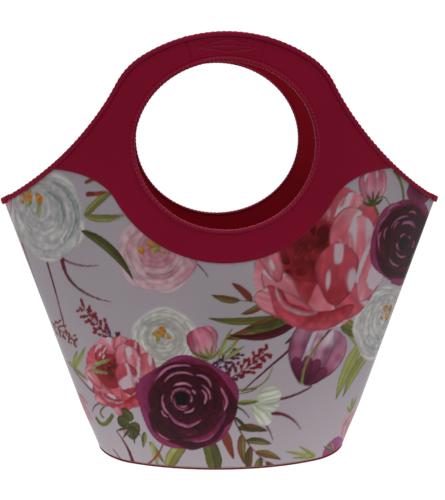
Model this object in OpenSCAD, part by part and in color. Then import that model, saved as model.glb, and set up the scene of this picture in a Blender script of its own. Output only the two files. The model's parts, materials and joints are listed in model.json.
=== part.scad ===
// Hand tote: a tapered board bag with a pointed mouth and two round cut-out handles.
// The two walls are one pattern, front and back. Every wall section is a pair of wide
// arcs joined by small end arcs, and the sections blend straight up the wall, so each
// ply is a true bent sheet. All plies are offsets of one inner surface.

/* [Bag] */
// Width of the mouth, tip to tip over the edge binding
mouth_w = 383; // [320:1:460]
// Depth of the mouth just above the tips, over the printed skin
mouth_d = 152; // [120:1:190]
// Height of the two tips of the mouth
tip_h = 224; // [185:1:270]
// Width of the oval base over the printed skin
base_w = 216; // [178:1:258]
// Depth of the oval base over the printed skin
base_d = 132; // [112:1:160]

/* [Handle] */
// Width of the hand hole, seen from the front
hole_w = 151; // [124:1:180]
// Height of the hand hole, seen from the front
hole_h = 139; // [115:1:168]
// How far the hand hole dips below the height of the tips
hole_dip = 20; // [0:1:30]
// Height of the grip above the hand hole, over the binding
grip_w = 23; // [18:1:30]
// Width of the shoulder beside the top of the hand hole
shoulder_w = 13; // [8:1:20]
// Width of the plain ring below the hand hole
ring_w = 27; // [20:1:34]
// Height of the line where the handle flexes, above the middle of the hand hole
flex_up = 9; // [5:1:20]

/* [Plies] */
// Thickness of the edge binding tape
bind_t = 0.8; // [0.6:0.1:1.2]
// Thickness of the lining
lining_t = 0.6; // [0.4:0.1:1]
// Thickness of the stiffening board
board_t = 1.6; // [1:0.1:2.4]
// Thickness of the printed skin
print_t = 0.6; // [0.4:0.1:1]
// Thickness of the plain facing where it lies on the printed skin
facing_t = 0.9; // [0.6:0.1:1.4]
// How far the printed skin runs on under the facing
print_lap = 10; // [6:1:14]
// Width of the binding along the rim
rim_bind_w = 4; // [4:0.5:7]
// Width of the turned edging round the hand hole
edging_w = 2.5; // [2.5:0.5:5]

/* [Base] */
// Thickness of the base cover
cover_t = 1.2; // [0.8:0.1:2]
// How far the base cover stands out past the printed skin
cover_lip = 0.8; // [0.4:0.1:1.5]
// Thickness of the base board
base_board_t = 2.4; // [1.6:0.1:4]

/* [Trim] */
// Width of the tape inside each side seam, half of it on each wall
seam_tape_w = 12; // [8:1:18]
// Length of the folded tab on each tip
tab_l = 9; // [7:0.5:12]
// Thickness of the folded tab
tab_t = 0.5; // [0.5:0.1:1.2]
// Distance between the two grooves on the front grip
label_w = 62; // [50:1:75]
// Width of each groove
groove_w = 1.2; // [0.8:0.1:2]
// Depth of each groove
groove_t = 0.4; // [0.2:0.1:0.5]

/* [Hidden] */

crimson = "#8c1436";
trim_crimson = "#a01840";
lilac_white = "#cfc3cf";
greyboard = "#b8a583";
lining_red = "#86102c";

end_steps = 5;
front_steps = 24;
hole_steps = 64;
far = 600;
split_gap = 0.4;
fold_r = 1;

// the side folds run on a little past the tips, where the rim cuts them off
fold_h = tip_h + 4;

// ply boundaries, outwards from the innermost surface of the wall
d_lining = bind_t;
d_board = d_lining + lining_t;
d_print = d_board + board_t;
d_skin = d_print + print_t;
d_facing = d_skin + facing_t;
d_bind = d_facing + bind_t;

// half sizes of the innermost surface at the mouth and at the base
mouth_a = mouth_w / 2 - d_bind;
mouth_b = mouth_d / 2 - d_skin;
base_a = base_w / 2 - d_skin;
base_b = base_d / 2 - d_skin;

// the wide arcs span the same angle at every height, so the wall is a straight-ruled sheet
half_tan = (mouth_b - fold_r) / (mouth_a - fold_r);
span = 2 * atan(half_tan);
function end_radius(a, b) = (b - a * half_tan) / (1 - half_tan);
function wide_radius(a, b) = b + (a - end_radius(a, b)) / tan(span);
base_end_r = end_radius(base_a, base_b);
base_wide_r = wide_radius(base_a, base_b);
mouth_wide_r = wide_radius(mouth_a, mouth_b);

function lerp(a, b, t) = a + (b - a) * t;
function wide_at(z) = lerp(base_wide_r, mouth_wide_r, z / fold_h);
function centre_at(z) = lerp(base_wide_r - base_b, mouth_wide_r - mouth_b, z / fold_h);
function end_at(z) = max(fold_r, lerp(base_end_r, fold_r, z / fold_h));
function half_width(z) = lerp(base_a, mouth_a, z / fold_h);

// point of the front wall that faces out at angle phi from straight ahead
function facing_out(phi) = [sin(phi), -cos(phi)];
function wall_xy(phi, z, d) = abs(phi) <= span
    ? [0, centre_at(z)] + (wide_at(z) + d) * facing_out(phi)
    : [0, centre_at(z)] + (wide_at(z) - end_at(z)) * facing_out(sign(phi) * span)
        + (end_at(z) + d) * facing_out(phi);
function wall_point(phi, z, d) = let (p = wall_xy(phi, z, d)) [p[0], p[1], z];

phis = concat(
    [for (i = [0 : end_steps - 1]) lerp(-90, -span, i / end_steps)],
    [for (i = [0 : front_steps]) lerp(-span, span, i / front_steps)],
    [for (i = [1 : end_steps]) lerp(span, 90, i / end_steps)]
);

// main heights
floor_z = cover_t + base_board_t + lining_t;
hole_z = tip_h - hole_dip + hole_h / 2;
flex_z = hole_z + flex_up;
top_z = hole_z + hole_h / 2 + grip_w;
high = top_z + 20;

// tools for outlines: arcs and curves laid end to end
function unit(v) = v / norm(v);
function left_of(v) = [-v[1], v[0]];
function down_at(angle) = [cos(angle), -sin(angle)];
function arc_end(p, from, to, r) = p + r * [sin(to) - sin(from), cos(to) - cos(from)];
function arc(p, from, to, r, n) = [
    for (i = [0 : n - 1]) arc_end(p, from, lerp(from, to, i / n), r)
];
function bezier(a, b, c, d, n) = [
    for (i = [0 : n])
        let (t = i / n, u = 1 - t)
            u * u * u * a + 3 * u * u * t * b + 3 * u * t * t * c + t * t * t * d
];
function run_of(pts, i) = i == 0
    ? [1, 0]
    : unit(pts[min(i + 1, len(pts) - 1)] - pts[i - 1]);
function moved(pts, w) = [for (i = [0 : len(pts) - 1]) pts[i] + w * left_of(run_of(pts, i))];
function both_sides(half) = concat(
    [for (i = [len(half) - 1 : -1 : 1]) [-half[i][0], half[i][1]]],
    half
);
function below(half) = let (edge = both_sides(half), last = edge[len(edge) - 1])
    concat(edge, [[last[0], -50], [-last[0], -50]]);

// the rim, right half: a flat arch over the grip, a tighter shoulder, a sweep out to the tip
arch_r = 128;
shoulder_r = 58;
shoulder_turn = 62;
tip_turn = 26;
shoulder_x = hole_w / 2 + shoulder_w;
arch_turn = asin((shoulder_x - shoulder_r * sin(shoulder_turn)) / (arch_r - shoulder_r));
arch_top = [0, top_z - bind_t];
arch_join = arc_end(arch_top, 0, arch_turn, arch_r);
shoulder_join = arc_end(arch_join, arch_turn, shoulder_turn, shoulder_r);
tip_point = [half_width(tip_h) + d_facing, tip_h];
sweep_in = 46;
sweep_out = 40;
rim_half = concat(
    arc(arch_top, 0, arch_turn, arch_r, 7),
    arc(arch_join, arch_turn, shoulder_turn, shoulder_r, 4),
    bezier(
        shoulder_join,
        shoulder_join + sweep_in * down_at(shoulder_turn),
        tip_point - sweep_out * down_at(tip_turn),
        tip_point,
        10
    ),
    [tip_point + 30 * down_at(tip_turn)]
);

// the lower edge of the plain facing, right half: a ring under the hand hole, a sweep to the rim
ring_turn = 62;
ring_a = hole_w / 2 + ring_w;
ring_b = hole_h / 2 + ring_w;
function ring_at(t) = [ring_a * sin(t), hole_z - ring_b * cos(t)];
ring_run = unit([ring_a * cos(ring_turn), ring_b * sin(ring_turn)]);
yoke_end = [half_width(tip_h) - 36, tip_h + 29];
yoke_in = 20;
yoke_out = 26;
yoke_half = concat(
    [for (i = [0 : 7]) ring_at(ring_turn * i / 8)],
    bezier(
        ring_at(ring_turn),
        ring_at(ring_turn) + yoke_in * ring_run,
        yoke_end - [yoke_out, 0],
        yoke_end,
        8
    ),
    [yoke_end + [60, 0]]
);

// one ply of the front wall, between two ply boundaries, from a low edge to above the handle
module ply(d_in, d_out, low = cover_t) {
    levels = [low, fold_h, high];
    n = len(phis);
    function at(level, side, i) = (level * 2 + side) * n + i;
    points = [
        for (z = levels, d = [d_out, d_in], phi = phis) wall_point(phi, z, d)
    ];
    outer = [
        for (k = [0, 1], i = [0 : n - 2])
            [at(k, 0, i), at(k + 1, 0, i), at(k + 1, 0, i + 1), at(k, 0, i + 1)]
    ];
    inner = [
        for (k = [0, 1], i = [0 : n - 2])
            [at(k, 1, i), at(k, 1, i + 1), at(k + 1, 1, i + 1), at(k + 1, 1, i)]
    ];
    low_edge = [for (i = [0 : n - 2]) [at(0, 0, i), at(0, 0, i + 1), at(0, 1, i + 1), at(0, 1, i)]];
    high_edge = [for (i = [0 : n - 2]) [at(2, 0, i), at(2, 1, i), at(2, 1, i + 1), at(2, 0, i + 1)]];
    left_edge = [for (k = [0, 1]) [at(k, 0, 0), at(k, 1, 0), at(k + 1, 1, 0), at(k + 1, 0, 0)]];
    right_edge = [
        for (k = [0, 1])
            [at(k, 0, n - 1), at(k + 1, 0, n - 1), at(k + 1, 1, n - 1), at(k, 1, n - 1)]
    ];
    polyhedron(
        points = points,
        faces = concat(outer, inner, low_edge, high_edge, left_edge, right_edge),
        convexity = 6
    );
}

// an oval plug that follows one surface of the walls between two heights
module plug(low, up, d) {
    half = len(phis);
    n = 2 * (half - 1);
    function oval(i, z) = i < half
        ? wall_point(phis[i], z, d)
        : let (p = wall_point(phis[n - i], z, d)) [p[0], -p[1], z];
    polyhedron(
        points = [for (z = [low, up], i = [0 : n - 1]) oval(i, z)],
        faces = concat(
            [[for (i = [0 : n - 1]) i]],
            [[for (i = [n - 1 : -1 : 0]) n + i]],
            [for (i = [0 : n - 1]) [i, n + i, n + (i + 1) % n, (i + 1) % n]]
        ),
        convexity = 4
    );
}

// a front-view outline run right through the bag
module through(outline) {
    rotate([90, 0, 0])
        translate([0, 0, -far / 2])
            linear_extrude(height = far)
                polygon(outline);
}

// everything under the rim, with the rim moved outwards by w
module under_rim(w) {
    through(below(moved(rim_half, w)));
}

// everything under the lower edge of the facing, with that edge moved up by w
module under_yoke(w) {
    translate([0, 0, w])
        through(below(yoke_half));
}

// the hand hole, grown by w all round
module hole(w) {
    through([
        for (i = [0 : hole_steps - 1])
            let (t = 360 * i / hole_steps)
                [(hole_w / 2 + w) * cos(t), hole_z + (hole_h / 2 + w) * sin(t)]
    ]);
}

module slab(low, up) {
    translate([-far / 2, -far / 2, low])
        cube([far, far, up - low]);
}

// the part below the flex line, which stays with the bag
module bag_part() {
    intersection() {
        children();
        slab(-10, flex_z - split_gap / 2);
    }
}

// the part above the flex line, which moves with the handle
module handle_part() {
    intersection() {
        children();
        slab(flex_z + split_gap / 2, high + 10);
    }
}

// a ply cut to the rim and the hand hole
module cut_ply(d_in, d_out, low = cover_t) {
    difference() {
        intersection() {
            ply(d_in, d_out, low);
            under_rim(0);
        }
        hole(bind_t);
    }
}

module print_sheet() {
    intersection() {
        cut_ply(d_print, d_skin);
        under_yoke(print_lap);
    }
}

module facing_sheet() {
    difference() {
        cut_ply(d_print, d_facing);
        under_yoke(0);
        intersection() {
            ply(d_board, d_skin);
            under_yoke(print_lap);
        }
    }
}

// the binding: two legs and a cap round the rim of the plies
module rim_tape() {
    difference() {
        intersection() {
            ply(0, d_bind);
            under_rim(bind_t);
        }
        under_rim(-rim_bind_w);
        intersection() {
            ply(d_lining, d_skin);
            under_rim(0);
        }
        difference() {
            intersection() {
                ply(d_print, d_facing);
                under_rim(0);
            }
            under_yoke(0);
        }
    }
}

// the turned edging: two legs and a cap round the hand hole
module hole_tape() {
    difference() {
        intersection() {
            ply(0, d_bind);
            hole(bind_t + edging_w);
        }
        hole(0);
        difference() {
            ply(d_lining, d_facing);
            hole(bind_t);
        }
    }
}

// two shallow grooves that frame the middle of the grip
groove_tilt = 14;
groove_margin = 1;
module grooves() {
    difference() {
        intersection() {
            ply(d_facing - groove_t, d_facing + 1);
            under_rim(-rim_bind_w - groove_margin);
            for (side = [-1, 1])
                translate([side * label_w / 2, 0, top_z - grip_w / 2])
                    rotate([0, side * groove_tilt, 0])
                        cube([groove_w, far, 2 * grip_w], center = true);
        }
        hole(bind_t + edging_w + groove_margin);
    }
}

module to_side(side) {
    if (side == "back") {
        mirror([0, 1, 0])
            children();
    } else {
        children();
    }
}

// each piece of a wall, front or back
module print_panel(side) {
    color(lilac_white)
        to_side(side)
            print_sheet();
}

module wall_board(side) {
    color(greyboard)
        to_side(side)
            bag_part()
                cut_ply(d_board, d_print);
}

module wall_lining(side) {
    color(lining_red)
        to_side(side)
            bag_part()
                cut_ply(d_lining, d_board, floor_z - lining_t);
}

module yoke_facing(side) {
    color(crimson)
        to_side(side)
            bag_part()
                facing_sheet();
}

module rim_binding(side) {
    color(trim_crimson)
        to_side(side)
            bag_part()
                rim_tape();
}

module hole_edging(side) {
    color(trim_crimson)
        to_side(side)
            bag_part()
                hole_tape();
}

// each piece of a handle, front or back
module handle_board(side) {
    color(greyboard)
        to_side(side)
            handle_part()
                cut_ply(d_board, d_print);
}

module handle_lining(side) {
    color(lining_red)
        to_side(side)
            handle_part()
                cut_ply(d_lining, d_board);
}

module handle_facing(side) {
    color(crimson)
        to_side(side)
            handle_part()
                difference() {
                    facing_sheet();
                    if (side == "front") grooves();
                }
}

module handle_binding(side) {
    color(trim_crimson)
        to_side(side)
            handle_part()
                rim_tape();
}

module handle_edging(side) {
    color(trim_crimson)
        to_side(side)
            handle_part()
                hole_tape();
}

// the base: a plain cover, a board inside the walls and a lining on the board
module base_cover() {
    color(crimson)
        plug(0, cover_t, d_skin + cover_lip);
}

module base_board() {
    color(greyboard)
        plug(cover_t, cover_t + base_board_t, d_board);
}

module base_lining() {
    color(lining_red)
        plug(floor_z - lining_t, floor_z, d_lining);
}

// a tape inside the side seam, from the floor up to the binding
module side_tape(side) {
    color(lining_red)
        intersection() {
            union() {
                ply(0, d_lining, floor_z);
                mirror([0, 1, 0])
                    ply(0, d_lining, floor_z);
            }
            under_rim(-rim_bind_w);
            translate([side < 0 ? -far : 0, -seam_tape_w / 2, 0])
                cube([far, seam_tape_w, fold_h]);
        }
}

// a tab folded round the corner where the two bindings meet
module tab_leg() {
    difference() {
        intersection() {
            ply(d_bind, d_bind + tab_t);
            under_rim(bind_t + tab_t);
        }
        under_rim(-rim_bind_w - tab_t);
    }
}

module tab_top() {
    difference() {
        intersection() {
            ply(0, d_bind + tab_t);
            under_rim(bind_t + tab_t);
        }
        under_rim(bind_t);
    }
}

module tip_cap(side) {
    color(trim_crimson)
        intersection() {
            union() {
                for (turn = [0, 1])
                    mirror([0, turn, 0]) {
                        tab_leg();
                        tab_top();
                    }
            }
            translate([side < 0 ? -far : half_width(tip_h) - tab_l, -far / 2, 0])
                cube([far - half_width(tip_h) + tab_l, far, far]);
        }
}

base_cover();
base_board();
base_lining();
print_panel("front");  // front_print_panel
wall_board("front");  // front_board
wall_lining("front");  // front_lining
yoke_facing("front");  // front_yoke_facing
rim_binding("front");  // front_rim_binding
hole_edging("front");  // front_hole_edging
handle_board("front");  // front_handle_board
handle_lining("front");  // front_handle_lining
handle_facing("front");  // front_handle_facing
handle_binding("front");  // front_handle_binding
handle_edging("front");  // front_handle_edging
print_panel("back");  // back_print_panel
wall_board("back");  // back_board
wall_lining("back");  // back_lining
yoke_facing("back");  // back_yoke_facing
rim_binding("back");  // back_rim_binding
hole_edging("back");  // back_hole_edging
handle_board("back");  // back_handle_board
handle_lining("back");  // back_handle_lining
handle_facing("back");  // back_handle_facing
handle_binding("back");  // back_handle_binding
handle_edging("back");  // back_handle_edging
side_tape(-1);  // left_side_tape
side_tape(1);  // right_side_tape
tip_cap(-1);  // left_tip_cap
tip_cap(1);  // right_tip_cap
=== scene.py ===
# %% [markdown]
# # A hand tote with round cut-out handles
# The bag is two bent walls of coated, printed sheet on an oval base. A plain crimson facing frames the
# hand holes, a tape binds the rim from tip to tip and an edging closes each hand hole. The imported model
# holds the sizes; here each ply gets its true bent surface, its folded edges, its threads and its finish.

# %% Load the frame
import json
import math

import bpy
import numpy as np
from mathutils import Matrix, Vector


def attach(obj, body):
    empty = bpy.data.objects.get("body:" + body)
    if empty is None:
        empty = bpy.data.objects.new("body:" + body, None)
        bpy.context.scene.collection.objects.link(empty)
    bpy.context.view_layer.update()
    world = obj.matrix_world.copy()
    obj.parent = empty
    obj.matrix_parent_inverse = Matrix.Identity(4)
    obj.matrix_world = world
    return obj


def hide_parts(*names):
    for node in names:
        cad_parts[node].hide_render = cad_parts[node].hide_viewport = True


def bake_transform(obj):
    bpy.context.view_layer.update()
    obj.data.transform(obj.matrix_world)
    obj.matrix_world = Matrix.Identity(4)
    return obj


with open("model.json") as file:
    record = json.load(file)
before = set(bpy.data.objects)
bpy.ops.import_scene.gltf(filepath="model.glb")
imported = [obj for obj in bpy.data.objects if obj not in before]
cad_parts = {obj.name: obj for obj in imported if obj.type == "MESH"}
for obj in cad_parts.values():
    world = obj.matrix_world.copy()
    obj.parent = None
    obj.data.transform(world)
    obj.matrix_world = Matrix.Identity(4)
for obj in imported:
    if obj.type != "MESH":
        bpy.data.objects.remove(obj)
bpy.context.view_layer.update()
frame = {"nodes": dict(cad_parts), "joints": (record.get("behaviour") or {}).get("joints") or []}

# %% [markdown]
# ## The wall as a surface
# A stiff sheet bends but does not stretch, so the wall is a ruled surface: every horizontal section is a
# wide arc with a small arc at each end, and points that face the same way are joined by straight lines.
# One function gives any point from its facing angle, its height and its offset, and every ply uses it.

# %% The bag's sizes, in millimetres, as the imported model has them
MM = 0.001
MOUTH_W, MOUTH_D, TIP_H = 383.0, 152.0, 224.0
BASE_W, BASE_D = 216.0, 132.0
HOLE_W, HOLE_H, HOLE_DIP = 151.0, 139.0, 20.0
GRIP_W, SHOULDER_W, RING_W = 23.0, 13.0, 27.0
BIND_T, LINING_T, BOARD_T, PRINT_T, FACING_T = 0.8, 0.6, 1.6, 0.6, 0.9
RIM_BIND_W, EDGING_W, PRINT_LAP = 3.2, 2.2, 10.0  # the tapes' legs as the stitches draw them in
COVER_T, BASE_BOARD_T = 1.2, 2.4
PLY_GAP = 0.02
FOLD_R, FOLD_H = 1.0, TIP_H + 4

D_LINING = BIND_T
D_BOARD = D_LINING + LINING_T
D_PRINT = D_BOARD + BOARD_T
D_SKIN = D_PRINT + PRINT_T
D_FACING = D_SKIN + FACING_T
D_BIND = D_FACING + BIND_T
HOLE_Z = TIP_H - HOLE_DIP + HOLE_H / 2
TOP_Z = HOLE_Z + HOLE_H / 2 + GRIP_W
FLOOR_Z = COVER_T + BASE_BOARD_T + LINING_T
FLEX_Z = frame["joints"][0]["pos_m"][2] / MM
print("hand hole centre", HOLE_Z, "top", TOP_Z, "flex line", FLEX_Z)

# %% The sections of the wall
MOUTH_A, MOUTH_B = MOUTH_W / 2 - D_BIND, MOUTH_D / 2 - D_SKIN
BASE_A, BASE_B = BASE_W / 2 - D_SKIN, BASE_D / 2 - D_SKIN
HALF_TAN = (MOUTH_B - FOLD_R) / (MOUTH_A - FOLD_R)
SPAN = 2 * math.atan(HALF_TAN)


def end_radius(a, b):
    return (b - a * HALF_TAN) / (1 - HALF_TAN)


def wide_radius(a, b):
    return b + (a - end_radius(a, b)) / math.tan(SPAN)


def up_wall(at_base, at_mouth, z):
    return at_base + (at_mouth - at_base) * z / FOLD_H


def wide_at(z):
    return up_wall(wide_radius(BASE_A, BASE_B), wide_radius(MOUTH_A, MOUTH_B), z)


def centre_at(z):
    at_base = wide_radius(BASE_A, BASE_B) - BASE_B
    return up_wall(at_base, wide_radius(MOUTH_A, MOUTH_B) - MOUTH_B, z)


def end_at(z):
    return np.maximum(FOLD_R, up_wall(end_radius(BASE_A, BASE_B), FOLD_R, z))


FOOT_RISE, FLAT_SHARE, CURL_SHARE, CURL_H = 5.0, 0.78, 0.25, 45


def foot_rise(x, z):
    """The foot curls up a little at the two ends of the oval, past its flat share."""
    past = np.clip((np.abs(x) / BASE_A - FLAT_SHARE) / CURL_SHARE, 0, 1.2)
    return FOOT_RISE * past**2 * np.clip(1 - z / CURL_H, 0, 1) ** 1.5


def wall(phi, z, d):
    """Point of the front wall that faces out at angle phi, at height z and offset d, in mm."""
    phi, z, d = np.broadcast_arrays(phi, z, np.asarray(d, float))
    side = np.clip(phi, -SPAN, SPAN)
    on_end = np.abs(phi) > SPAN
    core = np.where(on_end, wide_at(z) - end_at(z), 0)
    radius = np.where(on_end, end_at(z), wide_at(z)) + d
    x = core * np.sin(side) + radius * np.sin(phi)
    y = centre_at(z) - core * np.cos(side) - radius * np.cos(phi)
    return np.stack([x, y, z + foot_rise(x, z)], -1)


def wall_y(x, z, d):
    """Depth of the wide arc at a place seen from the front."""
    return centre_at(z) - np.sqrt((wide_at(z) + d) ** 2 - np.asarray(x) ** 2)


def half_girth(z, d):
    """Length of half a section, from the middle of the wall to the side fold."""
    return (wide_at(z) + d) * SPAN + (end_at(z) + d) * (math.pi / 2 - SPAN)


def facing_angle(u, z, d):
    """Facing angle of a point that lies u mm round the section from the middle of the wall."""
    wide = (wide_at(z) + d) * SPAN
    past = np.maximum(np.abs(u) - wide, 0) / (end_at(z) + d)
    return np.sign(u) * (np.minimum(np.abs(u), wide) / (wide_at(z) + d) + past)


print("wide arc spans", round(math.degrees(2 * SPAN), 1), "degrees")

# %% [markdown]
# ## The outlines
# Seen from the front, the rim is a flat arch over the grip, a tighter shoulder and a long sweep out to the
# tip. The facing's lower edge is a ring round the hand hole that sweeps out to the rim. Both are a few arcs
# and one free curve, so a handful of values moves them.


# %% The rim and the facing's lower edge
def heading(degrees):
    return np.array([math.cos(math.radians(degrees)), -math.sin(math.radians(degrees))])


def arc(start, first, last, radius, n):
    t = np.radians(np.linspace(first, last, n))
    turn = np.stack([np.sin(t) - np.sin(t[0]), np.cos(t) - np.cos(t[0])], -1)
    return np.asarray(start) + radius * turn


def bezier(a, b, c, d, n):
    t = np.linspace(0, 1, n)[:, None]
    u = 1 - t
    return u**3 * a + 3 * u**2 * t * b + 3 * u * t**2 * c + t**3 * d


def half_width(z):
    return up_wall(BASE_A, MOUTH_A, z)


ARCH_R, SHOULDER_R, SHOULDER_TURN, TIP_TURN = 128.0, 58.0, 62.0, 26.0
SWEEP_IN, SWEEP_OUT = 46.0, 40.0
shoulder_x = HOLE_W / 2 + SHOULDER_W
arch_sine = (shoulder_x - SHOULDER_R * math.sin(math.radians(SHOULDER_TURN))) / (ARCH_R - SHOULDER_R)
arch_turn = math.degrees(math.asin(arch_sine))
arch = arc((0, TOP_Z - BIND_T), 0, arch_turn, ARCH_R, 60)
shoulder = arc(arch[-1], arch_turn, SHOULDER_TURN, SHOULDER_R, 30)
tip_point = np.array([half_width(TIP_H) + D_FACING, TIP_H])
sweep = bezier(
    shoulder[-1],
    shoulder[-1] + SWEEP_IN * heading(SHOULDER_TURN),
    tip_point - SWEEP_OUT * heading(TIP_TURN),
    tip_point,
    120,
)
past_tip = tip_point + 30 * heading(TIP_TURN)
rim_half = np.vstack([arch[:-1], shoulder[:-1], sweep, past_tip])

RING_TURN, YOKE_IN, YOKE_OUT = 62.0, 20.0, 26.0
CORNER_IN, CORNER_UP = 36, 29
ring_t = np.radians(np.linspace(0, RING_TURN, 60))
ring_a, ring_b = HOLE_W / 2 + RING_W, HOLE_H / 2 + RING_W
ring = np.stack([ring_a * np.sin(ring_t), HOLE_Z - ring_b * np.cos(ring_t)], -1)
ring_run = np.array([ring_a * math.cos(ring_t[-1]), ring_b * math.sin(ring_t[-1])])
ring_run /= np.linalg.norm(ring_run)
yoke_end = np.array([half_width(TIP_H) - CORNER_IN, TIP_H + CORNER_UP])
yoke_sweep = bezier(ring[-1], ring[-1] + YOKE_IN * ring_run, yoke_end - [YOKE_OUT, 0], yoke_end, 60)
yoke_half = np.vstack([ring[:-1], yoke_sweep, yoke_end + [60, 0]])


def rim_z(x):
    return np.interp(np.abs(x), rim_half[:, 0], rim_half[:, 1])


def yoke_z(x):
    return np.interp(np.abs(x), yoke_half[:, 0], yoke_half[:, 1])


def climb(place, height, low=100.0, high=400.0):
    """Height at which a line up the wall, given by place(z), meets an outline height(x)."""
    low, high = np.full_like(place(low)[..., 0], low), np.full_like(place(low)[..., 0], high)
    for _ in range(40):
        middle = (low + high) / 2
        under = middle < height(place(middle)[..., 0])
        low, high = np.where(under, middle, low), np.where(under, high, middle)
    return (low + high) / 2


print("rim outline", len(rim_half), "points, facing outline", len(yoke_half), "points")

# %% [markdown]
# ## Making a sheet
# A sheet starts as Blender's grid primitive. Its vertices are moved onto the wall row by row, its doubles
# are merged where it closes on itself, and a Solidify modifier gives it its thickness inwards.


# %% Helpers for grids and modifiers
def deselect_all():
    bpy.ops.object.select_all(action="DESELECT")


def only(piece):
    deselect_all()
    piece.select_set(True)
    bpy.context.view_layer.objects.active = piece


def in_metres(points, side="front"):
    """Points given in mm, in metres. The back wall is the front wall turned half round."""
    placed = np.asarray(points) * MM
    return placed * [-1, -1, 1] if side == "back" else placed


def grid_piece(name, points, side="front"):
    """A grid primitive whose vertices are moved to points[row, column], in mm."""
    rows, cols = points.shape[:2]
    deselect_all()
    bpy.ops.mesh.primitive_grid_add(x_subdivisions=cols - 1, y_subdivisions=rows - 1, size=2)
    piece = bpy.context.object
    piece.name = piece.data.name = name
    flat = np.empty(len(piece.data.vertices) * 3)
    piece.data.vertices.foreach_get("co", flat)
    flat = flat.reshape(-1, 3)
    col = np.rint((flat[:, 0] + 1) / 2 * (cols - 1)).astype(int)
    row = np.rint((flat[:, 1] + 1) / 2 * (rows - 1)).astype(int)
    piece.data.vertices.foreach_set("co", in_metres(points[row, col], side).ravel())
    piece.data.update()
    return piece


def mesh_piece(name, points, faces, side="front"):
    """A piece from its points in mm and its faces, for shapes that no primitive starts."""
    mesh = bpy.data.meshes.new(name)
    mesh.from_pydata(in_metres(points, side).tolist(), [], faces)
    piece = bpy.data.objects.new(name, mesh)
    bpy.context.scene.collection.objects.link(piece)
    return piece


def edit(piece, *steps):
    only(piece)
    bpy.ops.object.mode_set(mode="EDIT")
    bpy.ops.mesh.select_all(action="SELECT")
    for step in steps:
        step()
    bpy.ops.object.mode_set(mode="OBJECT")


def close_doubles(piece):
    edit(piece, lambda: bpy.ops.mesh.remove_doubles(threshold=0.00002))


def face_out(piece):
    edit(piece, lambda: bpy.ops.mesh.normals_make_consistent(inside=False))


def apply_modifier(piece, kind, **settings):
    only(piece)
    modifier = piece.modifiers.new(kind.title(), kind)
    for key, value in settings.items():
        setattr(modifier, key, value)
    bpy.ops.object.modifier_apply(modifier=modifier.name)


def smooth(piece, degrees=40):
    only(piece)
    bpy.ops.object.shade_smooth_by_angle(angle=math.radians(degrees))


def triangles(piece):
    piece.data.calc_loop_triangles()
    return len(piece.data.loop_triangles)


print("helpers: grid, mesh, edit steps, modifiers, smoothing")


# %% [markdown]
# ## Materials
# All the visible sheet is synthetic leather: a dyed polyurethane skin on cloth. It has a satin gloss, a
# faint pressed grain and a colour that shifts a little from place to place. Each finish starts from its
# plain sRGB colour and a typical index of refraction of 1.5.


# %% Colour and node helpers
def linear_value(shown):
    shown = np.asarray(shown)
    return np.where(shown <= 0.04045, shown / 12.92, ((shown + 0.055) / 1.055) ** 2.4)


def linear(code):
    """A colour from its sRGB hex code, as linear red, green, blue, alpha."""
    return tuple(float(linear_value(int(code[i : i + 2], 16) / 255)) for i in (1, 3, 5)) + (1.0,)


def add_node(tree, kind, settings=None, **links):
    """Adds one node; a setting named after a socket sets the socket, and a link joins an output to it."""
    made = tree.nodes.new(kind)
    for key, value in (settings or {}).items():
        if isinstance(key, int) or key in made.inputs:
            made.inputs[key].default_value = value
        else:
            setattr(made, key, value)
    for key, source in links.items():
        tree.links.new(source, made.inputs[key.replace("_", " ")])
    return made


def new_material(name, **sockets):
    material = bpy.data.materials.new(name)
    material.use_nodes = True
    tree = material.node_tree
    shader = tree.nodes["Principled BSDF"]
    for key, value in sockets.items():
        shader.inputs[key.replace("_", " ")].default_value = value
    return material, tree, shader


def wear(piece, material):
    piece.data.materials.clear()
    piece.data.materials.append(material)


# %% Synthetic leather
DYE_CLOUD_MM = 60.0


def synthetic_leather(name, code, grain_mm, grain_depth_mm, roughness, shade=0.12):
    """Dyed polyurethane skin: pressed pebbles of grain_mm, a cloudy dye and a satin gloss."""
    material, tree, shader = new_material(name, Roughness=roughness, Specular_IOR_Level=0.12)
    place = add_node(tree, "ShaderNodeTexCoord").outputs["Object"]
    clouds = {"Scale": 1 / (DYE_CLOUD_MM * MM), "Detail": 3.0}
    cloud = add_node(tree, "ShaderNodeTexNoise", clouds, Vector=place)
    depth = {"To Min": 1 - shade, "To Max": 1 + shade}
    dye = add_node(tree, "ShaderNodeMapRange", depth, Value=cloud.outputs["Fac"])
    plain = {"operation": "SCALE", 0: linear(code)[:3]}
    tint = add_node(tree, "ShaderNodeVectorMath", plain, Scale=dye.outputs["Result"])
    tree.links.new(tint.outputs[0], shader.inputs["Base Color"])
    pebbles = {"feature": "SMOOTH_F1", "Scale": 1 / (grain_mm * MM), "Smoothness": 0.6, "Randomness": 0.9}
    pebble = add_node(tree, "ShaderNodeTexVoronoi", pebbles, Vector=place)
    fine = add_node(tree, "ShaderNodeTexNoise", {"Scale": 2.5 / (grain_mm * MM), "Detail": 2.0}, Vector=place)
    mix = add_node(tree, "ShaderNodeMath", {"operation": "MULTIPLY_ADD", 1: 0.35}, Value=fine.outputs["Fac"])
    tree.links.new(pebble.outputs["Distance"], mix.inputs[2])
    pressed = {"Strength": 0.6, "Distance": grain_depth_mm * MM}
    bump = add_node(tree, "ShaderNodeBump", pressed, Height=mix.outputs[0])
    tree.links.new(bump.outputs["Normal"], shader.inputs["Normal"])
    return material


crimson_leather = synthetic_leather("crimson synthetic leather", "#930d31", 1.1, 0.05, 0.42)
binding_leather = synthetic_leather("crimson binding tape", "#980f36", 0.9, 0.05, 0.55)
lining_leather = synthetic_leather("red lining leather", "#8a0216", 1.4, 0.04, 0.45)
cover_leather = synthetic_leather("crimson base leather", "#7c1230", 1.6, 0.12, 0.6)
print("leathers made")

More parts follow.
